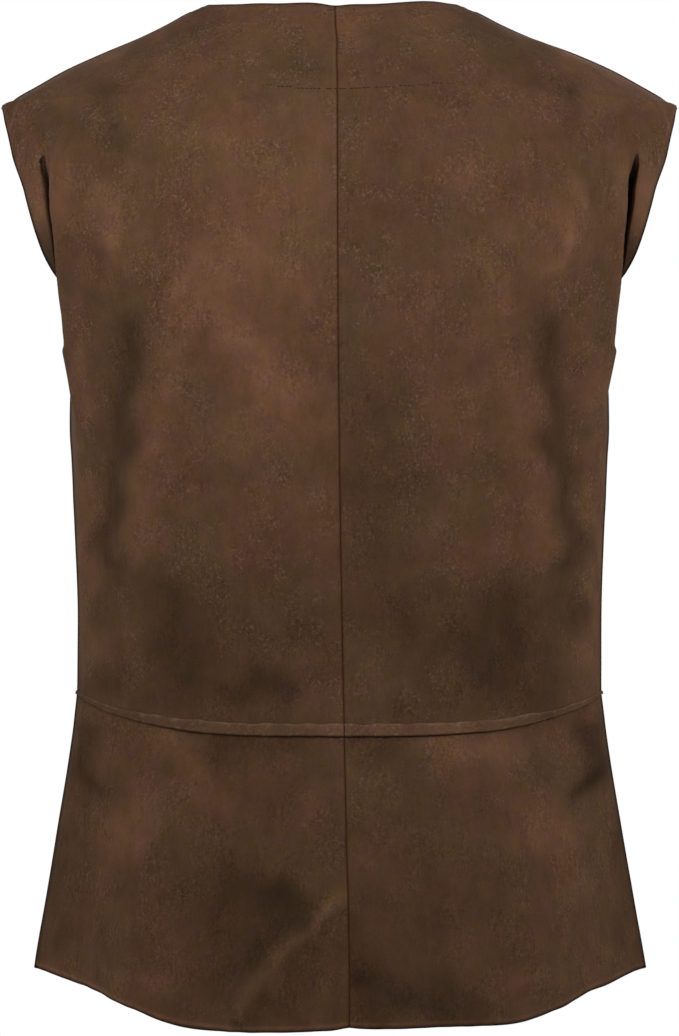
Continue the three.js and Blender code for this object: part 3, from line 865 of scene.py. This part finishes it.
edges = {
    "seamRadius": 0.45,  # how round the cloth turns into a seam
    "freeRadius": 0.8,  # and over a free edge
    "freeDark": 0.95,  # painted shade along a cut edge, and how wide it is
    "freeReach": 2.0,
    # painted shade in the depth of seams, and how wide it is
    "seamDark": 0.84,
    "seamReach": 0.8,
    "sideDark": 0.85,  # painted shade on the outer edge of a side or shoulder seam
    "sideReach": 2.2,
    # painted shade along the armhole's edge and in the slit
    "armholeDark": 0.5,
    "slitDark": 0.85,
    "underWelt": 1.25,  # width of the painted shadow below the welt
    "underWeltDark": 0.42,
    "underWeltLess": 0.26,  # at the side seams
    "rimHighlight": 0.14,  # painted highlight just inside a free edge, where the edge rolls
    "rimHighlightAt": 2.6,
    "uneven": 0.7,  # how much that line's strength wavers
    # painted highlights on other ridges: the slit's fold and flap, the armhole, the back's neck edge
    "foldPale": 0.14,
    "flapPale": 0.10,
    "armholePale": 0.16,
    "armholeWidth": 1.2,
    "neckPale": 0.14,
    "neckWidth": 0.8,
    "centrePale": 0.20,  # painted highlight on the left half's edge along the centre back seam
    "centreFrom": (-170, 120),  # height where it begins, and over how much
    "centreAt": 1.6,
    "centreWidth": 0.6,
    "tipPale": 0.30,  # painted highlight on the ridge inside each shoulder's tip, on lines of x, z, toX, toZ and width
    "tipLines": [(199, -25, 207, -33, 1.1), (207.5, -34, 212, -43, 1.1), (212, -45, 215, -55, 1.0)],
}


def isOn(grid, face, side):  # side 0 stands for both
    return face == grid["face"] and side in (0, grid["side"])


def slitMarks(grid):
    # 0 to 1: in the slit (painted shade), on the flap behind it (painted light, and shade at its foot),
    #         and
    # on the fold in front of it (painted highlight)
    s, z = grid["s"], grid["points"][..., 2]
    inPleat = (s - pleat["at"](z)) / pleat["width"](z)
    folded = np.clip(pleat["depth"](z) / slit["foldFull"], 0, 1)
    folded = folded * (z > measures["underarm"] + slit["foldAbove"])
    core = hump(inPleat - slit["past"], slit["width"]) * np.clip(slitDeep(z) / slit["darkFull"], 0, 1)
    flap = smoothstep((inPleat - slit["past"]) / slit["flapOver"]) * folded
    return core, flap, hump(inPleat - slit["foldAt"], slit["foldWidth"]) * folded


def toneWithPaintedLight(grid):
    # 1 + strokes of nap tone and of painted light and shade, whose lines wander by slow waves, then
    # painted shade towards side seams and at the foot of the slit's flap, painted light on the flap,
    # painted highlights inside shoulder seams and on the hem's fold, and lighter over the hem
    x, z = grid["points"][..., 0] * grid["side"], grid["points"][..., 2]
    flat = np.stack([x, z], axis=-1)
    u = x + toneAndPaintedLight["wander"] * slowWaves(flat, 31, *toneAndPaintedLight["wanderWaves"])
    v = z + toneAndPaintedLight["wander"] * slowWaves(flat, 32, *toneAndPaintedLight["wanderWaves"])
    tone = np.ones_like(x)
    for face, side, *line, change in strokesOfNapAndLight:
        if isOn(grid, face, side):
            tone += toneAndPaintedLight["strength"] * change * nearLine(line, u, v)
    flap = slitMarks(grid)[1]
    seam, high = isSideSeam(grid)[:, None], z > measures["underarm"] + 1
    shade = toneAndPaintedLight["sideShade"] * smoothstep((toneAndPaintedLight["shadeReach"] - grid["toSide"]) / toneAndPaintedLight["shadeOver"])
    tone *= 1 - np.where(seam & ~high, shade, 0)
    rimHighlight = toneAndPaintedLight["shoulderHighlight"] * hump(grid["toSide"] - toneAndPaintedLight["shoulderAt"], toneAndPaintedLight["shoulderWidth"])
    tone *= 1 + np.where(seam & high, rimHighlight, 0)
    if grid["part"] == "peplum":
        uneven = 1 + toneAndPaintedLight["hemUneven"] * pucker(x * grid["side"], seed=43)
        lineAt, lineWidth = toneAndPaintedLight["hemLine"]
        tone *= 1 + toneAndPaintedLight["hemFoldHighlight"][grid["side"]] * uneven * hump(grid["toHem"] - lineAt, lineWidth)
        tone *= 1 + toneAndPaintedLight["hemLighter"][grid["side"]] * smoothstep(1 - grid["toHem"] / toneAndPaintedLight["hemWidth"])
    foot = toneAndPaintedLight["wingFootShade"] * smoothstep((toneAndPaintedLight["wingFootFrom"] - z) / toneAndPaintedLight["wingFootOver"])
    return tone * (1 + flap * (toneAndPaintedLight["wingPaintedLight"] - foot))


def borderDistances(grid):
    # distances to the free edges and to the seams
    seam = isSideSeam(grid)[:, None]
    far = 1e3
    free, sewn = [], []
    (sewn if grid["face"] == "back" else free).append(grid["toCentre"])
    free.append(np.where(seam, far, grid["toSide"]))
    sewn.append(np.where(seam, grid["toSide"], far))
    sewn.append(grid["toWaist"])
    free.append(grid["toHem"] if grid["part"] == "peplum" else grid["toNeck"])
    return np.minimum.reduce(free), np.minimum.reduce(sewn)


def edgeMarks(grid, toFree, toSeam):
    # "dark": painted shade on cut edges, the outer edges of side seams, below the welt and in the slit;
    # "crease": painted shade in the depth of all seams; "pale": painted highlights inside edges and on
    # ridges
    z = grid["points"][..., 2]
    along = grid["s"] * relief["rowLength"] * grid["side"] + z
    uneven = 1 + edges["uneven"] * pucker(along, seed=41)
    core, flap, fold = slitMarks(grid)
    dark = edges["freeDark"] * hump(toFree, edges["freeReach"])
    crease = edges["seamDark"] * hump(toSeam, edges["seamReach"])
    sideEdge = np.where(isSideSeam(grid)[:, None], edges["sideDark"], edges["armholeDark"])
    dark += sideEdge * hump(grid["toSide"], edges["sideReach"])
    pale = edges["rimHighlight"] * uneven * hump(toFree - edges["rimHighlightAt"], 1.0)
    pale = pale + edges["foldPale"] * fold + edges["flapPale"] * flap
    if grid["part"] == "peplum":
        underWelt = edges["underWeltDark"] - edges["underWeltLess"] * grid["s"] ** 4
        dark += underWelt * hump(grid["toWaist"], edges["underWelt"])
    else:
        high = risesFrom(z, relief["armholeRidgeFrom"]) * ~isSideSeam(grid)[:, None]
        ridgeAt = relief["armholeRidge"][0]
        pale += edges["armholePale"] * high * hump(grid["toSide"] - ridgeAt, edges["armholeWidth"])
        if grid["face"] == "back":
            ridgeAt = relief["neckRidge"][0]
            pale += edges["neckPale"] * hump(grid["toNeck"] - ridgeAt, edges["neckWidth"])
    if isOn(grid, "back", -1):
        line = hump(grid["toCentre"] - edges["centreAt"], edges["centreWidth"])
        pale += edges["centrePale"] * risesFrom(z, edges["centreFrom"]) * line
    tips = sum(nearLine(line, np.abs(grid["points"][..., 0]), z) for line in edges["tipLines"])
    pale += edges["tipPale"] * tips
    inner = edges["freeDark"] * hump(toFree, edges["freeReach"])
    marks = {"dark": np.stack([dark + edges["slitDark"] * core, inner]), "pale": pale, "crease": crease}
    return {name: np.clip(values, 0, 1) for name, values in marks.items()}


def addMesh(name, vertices, quads, material, attributes=None, triangles=None):
    data = bpy.data.meshes.new(name)
    vertices = np.asarray(vertices, np.float64) * metre
    faces = [quads] if triangles is None else [quads, triangles]
    loops = np.concatenate([face.ravel() for face in faces]).astype(np.int32)
    totals = np.concatenate([np.full(len(face), face.shape[1]) for face in faces]).astype(np.int32)
    starts = np.concatenate([[0], np.cumsum(totals)[:-1]]).astype(np.int32)
    data.vertices.add(len(vertices))
    data.vertices.foreach_set("co", vertices.astype(np.float32).ravel())
    data.loops.add(len(loops))
    data.loops.foreach_set("vertex_index", loops)
    data.polygons.add(len(totals))
    data.polygons.foreach_set("loop_start", starts)
    data.polygons.foreach_set("loop_total", totals)
    data.polygons.foreach_set("use_smooth", np.ones(len(totals), bool))
    for key, values in (attributes or {}).items():
        layer = data.attributes.new(key, "FLOAT", "POINT")
        layer.data.foreach_set("value", np.asarray(values, np.float32).ravel())
    data.materials.append(material)
    data.update(calc_edges=True)
    if data.validate(verbose=False):
        print("mesh mended:", name)
    piece = bpy.data.objects.new(name, data)
    bpy.context.scene.collection.objects.link(piece)
    return piece


def gridQuads(high, wide, first=0):
    index = first + np.arange(high * wide).reshape(high, wide)
    return np.stack([index[:-1, :-1], index[:-1, 1:], index[1:, 1:], index[1:, :-1]], -1).reshape(-1, 4)


def wallFaces(high, wide, sign, first=0):
    # two grids of one size, outer and inner, joined round their borders, every face pointing outwards
    count = high * wide
    index = first + np.arange(count).reshape(high, wide)
    border = np.concatenate([index[0, :-1], index[:-1, -1], index[-1, :0:-1], index[:0:-1, 0]])
    after = np.roll(border, -1)
    rim = np.stack([after, border, border + count, after + count], -1)
    inner = gridQuads(high, wide, first + count)[:, ::-1]
    faces = np.concatenate([gridQuads(high, wide, first), inner, rim])
    return faces[:, ::-1] if sign < 0 else faces


def addWalls(name, walls, material):
    # each wall is its outer grid, inner grid, sign and attributes, which are one array for both faces or
    # one for each; one mesh holds them all
    vertices, faces, attributes = [], [], {"inside": []}
    count = 0
    for outer, inner, sign, marks in walls:
        high, wide = outer.shape[:2]
        faces.append(wallFaces(high, wide, sign, count))
        vertices += [outer.reshape(-1, 3), inner.reshape(-1, 3)]
        for key, value in marks.items():
            attributes.setdefault(key, []).append(np.broadcast_to(value, (2, high, wide)).ravel())
        attributes["inside"] += [np.zeros(high * wide), np.ones(high * wide)]
        count += 2 * high * wide
    joined = {key: np.concatenate(value) for key, value in attributes.items()}
    return addMesh(name, np.concatenate(vertices), np.concatenate(faces), material, joined)


def clothShell(name, grid, material):
    toFree, toSeam = borderDistances(grid)
    freeFall = fallBack(toFree, edges["freeRadius"])
    fall = np.maximum(freeFall, fallBack(toSeam, edges["seamRadius"]))
    normals = grid["softNormals"]
    outer = grid["points"] - normals * fall[..., None]
    inner = grid["points"] - normals * np.maximum(grid["wall"] - freeFall, fall + 0.1)[..., None]
    grid["tone"] = toneWithPaintedLight(grid)
    marks = dict(edgeMarks(grid, toFree, toSeam), napAndPaintedLight=grid["tone"])
    return addWalls(name, [(outer, inner, grid["sign"], marks)], material)


def standsFor(piece, node):
    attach(piece, "root")
    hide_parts(node)


print("building the panels")
materials = {
    "back_left": suedeMaterial("suede_back_left", (0.3, 0.1, 0.0)),
    "back_right": suedeMaterial("suede_back_right", (1.7, 0.4, 0.2)),
    "front_left": suedeMaterial("suede_front_left", (2.9, 0.8, 0.5)),
    "front_right": suedeMaterial("suede_front_right", (4.1, 0.2, 0.9)),
    "peplum_back_left": suedeMaterial("suede_peplum_left", (5.3, 0.7, 0.1), flecked=0.6),
    "peplum_back_right": suedeMaterial("suede_peplum_right", (6.1, 0.3, 0.6), flecked=0.6),
    "peplum_front_left": suedeMaterial("suede_peplum_front_left", (7.7, 0.9, 0.8), flecked=0.6),
    "peplum_front_right": suedeMaterial("suede_peplum_front_right", (8.3, 0.5, 0.4), flecked=0.6),
    "welt": suedeMaterial("suede_welt", (9.1, 0.6, 0.3), 1.20),
    "facing": suedeMaterial("suede_facing", (10.3, 0.2, 0.7), 0.9),
    "turnings": suedeMaterial("suede_turnings", (11.1, 0.5, 0.2), 0.9),
}

grids = {}
pieces = {}
for sideName, side in (("left", -1), ("right", 1)):
    for face in ("back", "front"):
        for part in ("bodice", "peplum"):
            node = f"{face}_{sideName}" if part == "bodice" else f"peplum_{face}_{sideName}"
            grids[node] = panelGrid(face, side, part)
            pieces[node] = clothShell("cloth_" + node, grids[node], materials[node])
            standsFor(pieces[node], node)

welt = {
    "height": 5.7,
    "thin": 0.6,  # share of the height that is lost at the side seams
    "uneven": 0.08,
    # the paleness is a painted highlight along its top, the darkness painted shade where it turns under
    "profile": [  # share of the height above the seam, how proud it stands in mm, how pale, how dark
        (1.00, 0.10, 0.24, 0.15), (0.985, 0.65, 0.40, 0), (0.90, 1.15, 0.32, 0), (0.76, 1.40, 0.14, 0),
        (0.48, 1.55, 0.09, 0), (0.22, 1.80, 0.10, 0), (0.06, 1.95, 0.14, 0), (-0.05, 1.70, 0, 0.10),
        (-0.11, 1.15, 0, 0.55), (-0.10, 0.70, 0, 1), (-0.03, 0.30, 0, 1), (0.3, 0.22, 0, 0.6),
        (0.7, 0.22, 0, 0.6)],
    # where it is caught double and stands higher: face, side, x, half length, extra in mm
    "knots": [
        ("back", -1, 130, 5, 0.5), ("back", -1, 97, 9, 0.6), ("back", -1, 18, 6, 0.3),
        ("back", 1, 112, 8, 0.6), ("back", 1, 62, 5, 0.3), ("front", -1, 104, 8, 0.5),
        ("front", 1, 88, 7, 0.5), ("front", 1, 128, 6, 0.4)],
    "specks": 0.20,  # share of its top edge that catches the light
    "speckPale": 0.6,
    "endShade": 0.42,  # painted shade: how much darker it is at the side seams
    # lighter spot beside the centre seam: face, side, x, width, how pale
    "spot": ("back", 1, 2.4, 1.5, 0.45),
    "flatter": 0.45,  # share of its fullness that is lost at the side seams
    "fullness": 0.16,  # how unevenly it is filled
    "knotFull": 0.5,
    "rounded": (0.5, 0.5),  # share of its fullness lost at the centre, and within how far
    # painted shade at its end by the centre seam: how dark, and within how far
    "centreDark": (0.8, 0.35),
    "highlightAlong": (0.75, 0.55),  # how strong its painted highlight is along its length: usual share, and how much that wavers
    "highlightRange": (0.25, 1.5),
    "deepest": -2,  # millimetres below the seam that it goes to
    # painted shade on its end caps
    "capDark": 0.8,
}


def weltRings(grid, share):
    # the profile is carried along the bodice's lowest rows: each point = cloth at that height + normal *
    # proud * fullness; share runs from 0 at the centre to 1 at the side seam
    points, normals = grid["points"], grid["normals"]
    steps = np.array(mesh["edgeSteps"])
    x = points[0, :, 0] * grid["side"]
    knot = sum(
        extra * hump(x - at, half)
        for face, side, at, half, extra in welt["knots"]
        if isOn(grid, face, side))
    wave = pucker(x * grid["side"] * 0.6, seed=21)
    tall = welt["height"] * (1 - welt["thin"] * share ** 3) * (1 + welt["uneven"] * wave) + knot
    filled = 1 + welt["fullness"] * pucker(x * grid["side"], seed=22)
    bodied = (1 - welt["flatter"] * share ** 4) * filled + welt["knotFull"] * knot
    lost, within = welt["rounded"]
    rounded = 1 - lost * hump(grid["toCentre"][0], within)
    draw = np.random.default_rng(51)
    columns = np.arange(points.shape[1])
    rings, pale, dark = [], [], []
    spotFace, spotSide, spotAt, spotWidth, spotPale = welt["spot"]
    spot = spotPale * hump(x - spotAt, spotWidth) * isOn(grid, spotFace, spotSide)
    usual, wavers = welt["highlightAlong"]
    litAlong = np.clip(usual + wavers * pucker(x * grid["side"] * 0.4, seed=23), *welt["highlightRange"])
    centreDark, darkWidth = welt["centreDark"]
    for up, proud, paleness, darkness in welt["profile"]:
        height = np.clip(up * tall, welt["deepest"], steps[-1])
        i = np.clip(np.searchsorted(steps, height, side="right") - 1, 0, len(steps) - 2)
        t = (height - steps[i]) / (steps[i + 1] - steps[i])
        low, high = points[i, columns], points[i + 1, columns]
        at = low + (high - low) * t[:, None]
        rings.append(at + normals[4] * (proud * bodied * rounded)[:, None])
        likely = welt["specks"] * (0.4 + 1.6 * (knot > 0.15))  # more of them on the knots
        speck = (draw.random(len(x)) < likely) * welt["speckPale"]
        pale.append(paleness * (litAlong + 0.3 * wave) + (paleness > 0.1) * (litAlong * speck + spot))
        dark.append(np.maximum(darkness, centreDark * hump(grid["toCentre"][0], darkWidth)))
    return np.array(rings), pale, dark


def weltOn(name, grid, material):
    # a closed tube through the rings, with a fan at each end
    share = (grid["s"][0] - grid["s"][0, 0]) / (1 - grid["s"][0, 0])
    rings, pale, dark = weltRings(grid, share)
    count, wide = rings.shape[:2]
    index = np.arange(count * wide).reshape(count, wide)
    turned = np.roll(index, -1, axis=0)
    quads = np.stack([index[:, :-1], turned[:, :-1], turned[:, 1:], index[:, 1:]], -1).reshape(-1, 4)
    ends = rings[:, [0, -1]].mean(axis=0)
    first, last = count * wide, count * wide + 1
    caps = np.concatenate([
        np.stack([index[:, 0], np.full(count, first), turned[:, 0]], -1),
        np.stack([turned[:, -1], np.full(count, last), index[:, -1]], -1)])
    if grid["sign"] > 0:
        quads, caps = quads[:, ::-1], caps[:, ::-1]
    tone = np.tile(grid["tone"][9] * (1 - welt["endShade"] * share ** 3), (count, 1))
    attributes = {"inside": np.zeros(count * wide + 2)}
    for key, values, atEnds in (("pale", pale, 0), ("dark", dark, welt["capDark"]), ("napAndPaintedLight", tone, 1)):
        attributes[key] = np.append(np.clip(values, 0, 2).ravel(), [atEnds, atEnds])
    return addMesh(name, np.concatenate([rings.reshape(-1, 3), ends]), quads, material, attributes, caps)


print("building the welts")
for sideName in ("left", "right"):
    for face in ("back", "front"):
        node = f"waist_welt_{face}_{sideName}"
        pieces[node] = weltOn(f"welt_{face}_{sideName}", grids[f"{face}_{sideName}"], materials["welt"])
        standsFor(pieces[node], node)

turning = {
    "width": 9.5,  # of the seam allowances, pressed open inside
    "wall": 0.65,
    "gap": 0.05,
    "over": 0.75,  # how much deeper the waist seam's lie, over the others
    "neckClear": 4.0,  # where the centre back's end below the neck edge
    # painted shade along the strips' borders
    "edgeDark": 0.55,
}


def strip(grid, rows, columns, deeper=0.0):
    # part of a panel's grid, laid against the inner side of the cloth
    area = np.ix_(rows, columns)
    points, normals, wall = grid["points"][area], grid["softNormals"][area], grid["wall"][area]
    depth = (wall + turning["gap"] + deeper)[..., None]
    outer = points - normals * depth
    inner = points - normals * (depth + turning["wall"])
    high, wide = outer.shape[:2]
    away = np.minimum.reduce(np.broadcast_arrays(
        np.minimum(np.arange(high), high - 1 - np.arange(high))[:, None],
        np.minimum(np.arange(wide), wide - 1 - np.arange(wide))[None, :]))
    zero = np.zeros((high, wide))
    marks = {"dark": turning["edgeDark"] * (away == 0), "pale": zero, "napAndPaintedLight": zero + 1}
    return outer, inner, grid["sign"], marks


def thinned(indices):
    # every other one, with both ends
    return np.unique(np.append(indices[::2], indices[-1]))


def turningsOf(name, grid):
    rowCount, columnCount = grid["points"].shape[:2]
    rows, middle = np.arange(rowCount), rowCount // 2
    edge = grid["points"][:, -1, 2]
    nearSide = np.flatnonzero(grid["toSide"][middle] <= turning["width"])
    walls = []
    if grid["face"] == "back":
        nearCentre = np.flatnonzero(grid["toCentre"][middle] <= turning["width"])
        clear = grid["toNeck"][:, 0] > turning["neckClear"] if grid["part"] == "bodice" else rows >= 0
        walls.append(strip(grid, thinned(rows[clear]), thinned(nearCentre)))
    if grid["part"] == "bodice":
        walls.append(strip(grid, thinned(rows[edge <= measures["underarm"]]), thinned(nearSide)))
        walls.append(strip(grid, rows[edge >= measures["shoulderTip"]], thinned(nearSide)))
    else:
        walls.append(strip(grid, thinned(rows), thinned(nearSide)))
    atWaist = np.flatnonzero(grid["toWaist"][:, columnCount // 2] <= turning["width"])
    walls.append(strip(grid, thinned(atWaist), thinned(np.arange(columnCount)), turning["over"]))
    piece = addWalls(name, walls, materials["turnings"])
    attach(piece, "root")
    return piece


print("building the turnings inside")
for node in list(grids):
    pieces["turnings_" + node] = turningsOf("turnings_" + node, grids[node])
    slotFace = "suede_peplum" if "peplum" in node else "suede_" + node.split("_")[0]
    pieces["turnings_" + node]


def neckFacing():
    # the back's inner side from the neck edge down to the facing's lower edge, a little inside the cloth
    left, right = grids["back_left"], grids["back_right"]
    across = np.concatenate([left["points"][:, :0:-1], right["points"]], axis=1)
    normals = np.concatenate([left["softNormals"][:, :0:-1], right["softNormals"]], axis=1)
    share = np.concatenate([left["s"][-1, :0:-1], right["s"][-1]])
    low = facingLowAt(share)
    top = across[-1, :, 2] - facing["below"]
    heights = low + (top - low) * np.linspace(0, 1, facing["rows"])[:, None]

    def atHeights(values):
        columns = range(across.shape[1])
        return np.stack([
            np.stack([np.interp(heights[:, j], across[:, j, 2], values[:, j, axis]) for j in columns], -1)
            for axis in range(3)], -1)

    points, leans = atHeights(across), unit(atHeights(normals))
    deeper = facing["overTurnings"] * smoothstep((top - heights) / facing["overWithin"])
    depth = measures["wall"] + facing["gap"] + deeper
    outer = points - leans * depth[..., None]
    inner = points - leans * (depth + facing["wall"])[..., None]
    zero = np.zeros(outer.shape[:2])
    dark = facing["edgeDark"] * hump(heights - low, facing["edgeReach"])
    marks = {"dark": dark, "pale": zero, "napAndPaintedLight": zero + 1}
    return addWalls("neck_facing", [(outer, inner, 1, marks)], materials["facing"]), outer


print("building the facing")
pieces["back_neck_facing"], facingGrid = neckFacing()
standsFor(pieces["back_neck_facing"], "back_neck_facing")

stitches = {
    "from": -52.0,  # the row that holds the facing's lower edge, from left to right
    "to": 78.0,
    "above": 1.0,  # the facing's lower edge
    "pitch": 3.1,
    "length": 2.1,
    "width": 0.34,
    "height": 0.22,
    "tacks": [(-6.6, 19.4, 4.6), (10.0, 19.6, 1.4)],  # x, z and length of the tacks at the neck edge
    "color": (0.040, 0.020, 0.012, 1),
    "rings": [0.1, 0.35, 0.65, 0.9],  # of each stitch, from one end to the other
    "sides": 6,
    "fadesOver": 16,  # stitches get shorter towards the row's ends, down to this share
    "shortest": 0.35,
    "proud": 0.05,  # of the cloth
    "twist": 0.0006,  # size of the thread's mottling in metres, and its darkest share and range
    "twistShades": (0.6, 0.8),
}


def ringQuads(index):
    # faces between rings of points, a row of the index for each ring
    after = np.roll(index, -1, axis=1)
    return np.stack([index[:-1], index[1:], after[1:], after[:-1]], -1).reshape(-1, 4)


def stitchPlaces():
    # centre, direction along the thread, normal and length of every stitch and tack, on the nearest points
    # of the cloth
    halves = grids["back_left"], grids["back_right"]
    points = np.concatenate([half["points"].reshape(-1, 3) for half in halves])
    normals = np.concatenate([half["softNormals"].reshape(-1, 3) for half in halves])
    x = np.arange(stitches["from"], stitches["to"], stitches["pitch"])
    halfWidth = form["halfWidth"](np.full_like(x, facing["low"]))
    z = facingLowAt(np.abs(x) / halfWidth) + stitches["above"]
    toEnd = np.minimum(x - stitches["from"], stitches["to"] - x)
    fade = np.clip(toEnd / stitches["fadesOver"], stitches["shortest"], 1)
    tackX, tackZ, tackLength = np.array(stitches["tacks"]).T
    wanted = np.stack([np.append(x, tackX), np.append(z, tackZ)], -1)
    near = np.argmin(((points[None, :, [0, 2]] - wanted[:, None]) ** 2).sum(-1), axis=1)
    normal = normals[near]
    slope = np.append(np.gradient(z) / np.gradient(x), np.zeros(len(tackX)))
    tangent = np.stack([np.ones_like(slope), 0 * slope, slope], -1)
    tangent = unit(tangent - (tangent * normal).sum(-1, keepdims=True) * normal)
    centre = points[near] + normal * stitches["proud"]
    return centre, tangent, normal, np.append(stitches["length"] * fade, tackLength)


def threadMaterial():
    shader = Shader("thread")
    twist = shader.noise(shader.place(), stitches["twist"], 1)
    darkest, more = stitches["twistShades"]
    color = shader.scaled(stitches["color"][:3], darkest + twist * more)
    shader.feed(shader.surface, {"Base Color": color, "Roughness": 0.8})
    return shader.material


def stitchRow():
    # each stitch is a thread's bulge: centre + along (t - 1/2) length + (cos a side width + sin a normal
    # height) * bulge, with bulge = (4 t (1 - t))^0.4 between its closed ends
    centre, tangent, normal, length = stitchPlaces()
    sideways = np.cross(normal, tangent)
    turn = np.linspace(0, 2 * np.pi, stitches["sides"] + 1)[:-1]
    t = np.array(stitches["rings"])
    bulge = (4 * t * (1 - t)) ** 0.4
    ring = (
        np.cos(turn)[None, :, None] * sideways[:, None, None] * stitches["width"]
        + np.sin(turn)[None, :, None] * normal[:, None, None] * stitches["height"])
    shift = (t - 0.5)[None, :, None, None] * length[:, None, None, None]
    rings = (
        centre[:, None, None] + tangent[:, None, None] * shift
        + ring * bulge[None, :, None, None])
    ends = np.array([-0.5, 0.5])[None, :, None] * length[:, None, None]
    ends = centre[:, None] + tangent[:, None] * ends
    each = len(t) * stitches["sides"] + 2
    vertices = np.concatenate([rings.reshape(len(centre), -1, 3), ends], axis=1).reshape(-1, 3)
    first = (np.arange(len(centre)) * each)[:, None]
    index = np.arange(len(t) * stitches["sides"]).reshape(len(t), stitches["sides"])
    after = np.roll(index, -1, axis=1)
    caps = np.concatenate([
        np.stack([after[0], np.full(stitches["sides"], each - 2), index[0]], -1),
        np.stack([index[-1], np.full(stitches["sides"], each - 1), after[-1]], -1)])
    quads = (ringQuads(index)[None] + first[..., None]).reshape(-1, 4)
    caps = (caps[None] + first[..., None]).reshape(-1, 3)
    return addMesh("facing_stitches", vertices, quads, threadMaterial(), None, caps)


print("building the stitches")
pieces["facing_stitches"] = stitchRow()
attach(pieces["facing_stitches"], "root")

cut = {"turning": 10.0}  # seam and hem allowance round every flat piece


def cutSize(points):
    # flat width and length in metres with their turnings, and the area: cells + border * turning; the
    # length is taken along the inner half of the columns, which run clear of the armhole
    across, up = lengthsAlong(points, 1), lengthsAlong(points, 0)
    edgeLength = across[0, -1] + across[-1, -1] + up[-1, 0] + up[-1, -1]
    cells = np.linalg.norm(np.cross(
        points[1:, 1:] - points[:-1, :-1], points[1:, :-1] - points[:-1, 1:]), axis=-1).sum() / 2
    both = 2 * cut["turning"]
    area = cells + edgeLength * cut["turning"]
    flat = ((across[:, -1].max() + both) * metre, (up[-1, :points.shape[1] // 2].max() + both) * metre)
    return flat, area * metre ** 2


for sideName in ("left", "right"):
    for face in ("back", "front"):
        bodiceName, peplumName = f"{face}_{sideName}", f"peplum_{face}_{sideName}"
        flat, area = cutSize(grids[bodiceName]["points"])
        print(f"{bodiceName}: cut {flat[0]:.3f} x {flat[1]:.3f} m, {area:.4f} m2")
        flat, area = cutSize(grids[peplumName]["points"])
        print(f"{peplumName}: cut {flat[0]:.3f} x {flat[1]:.3f} m, {area:.4f} m2")
flat, area = cutSize(facingGrid)
print(f"facing: cut {flat[0]:.3f} x {flat[1]:.3f} m, {area:.4f} m2")

addCamera()
addLamps()


def addFloor():
    # a disc of rings round a fan
    sides, height = studio["floorSides"], studio["floorHeight"] / metre
    turn = np.linspace(0, 2 * np.pi, sides + 1)[:-1]
    radius = np.array(studio["floorRings"]) * studio["floorRadius"] / metre
    rings = np.stack([
        np.outer(radius, np.cos(turn)), np.outer(radius, np.sin(turn)),
        np.full((len(radius), sides), height)], -1)
    index = np.arange(len(radius) * sides).reshape(len(radius), sides)
    fan = np.stack([np.full(sides, index.size), index[0], np.roll(index[0], -1)], -1)
    vertices = np.concatenate([rings.reshape(-1, 3), np.array([[0, 0, height]])])
    paper = plainMaterial("floor_paper", studio["floorColor"], studio["floorRoughness"])
    addMesh("floor", vertices, ringQuads(index), paper, None, fan)


def addSky():
    world = bpy.data.worlds.new("sky")
    world.use_nodes = True
    bpy.context.scene.world = world
    nodes, links = world.node_tree.nodes, world.node_tree.links
    seen = nodes["Background"]
    seen.inputs["Strength"].default_value = studio["skyWhite"]
    seen.inputs["Color"].default_value = (1, 1, 1, 1)
    light = nodes.new("ShaderNodeBackground")
    light.inputs["Strength"].default_value = studio["skyLight"]
    light.inputs["Color"].default_value = studio["skyColor"]
    path = nodes.new("ShaderNodeLightPath")
    mix = nodes.new("ShaderNodeMixShader")
    links.new(path.outputs["Is Camera Ray"], mix.inputs["Fac"])
    links.new(light.outputs["Background"], mix.inputs[1])
    links.new(seen.outputs["Background"], mix.inputs[2])
    links.new(mix.outputs["Shader"], nodes["World Output"].inputs["Surface"])


addFloor()
addSky()
bpy.context.scene.view_settings.view_transform = "Standard"
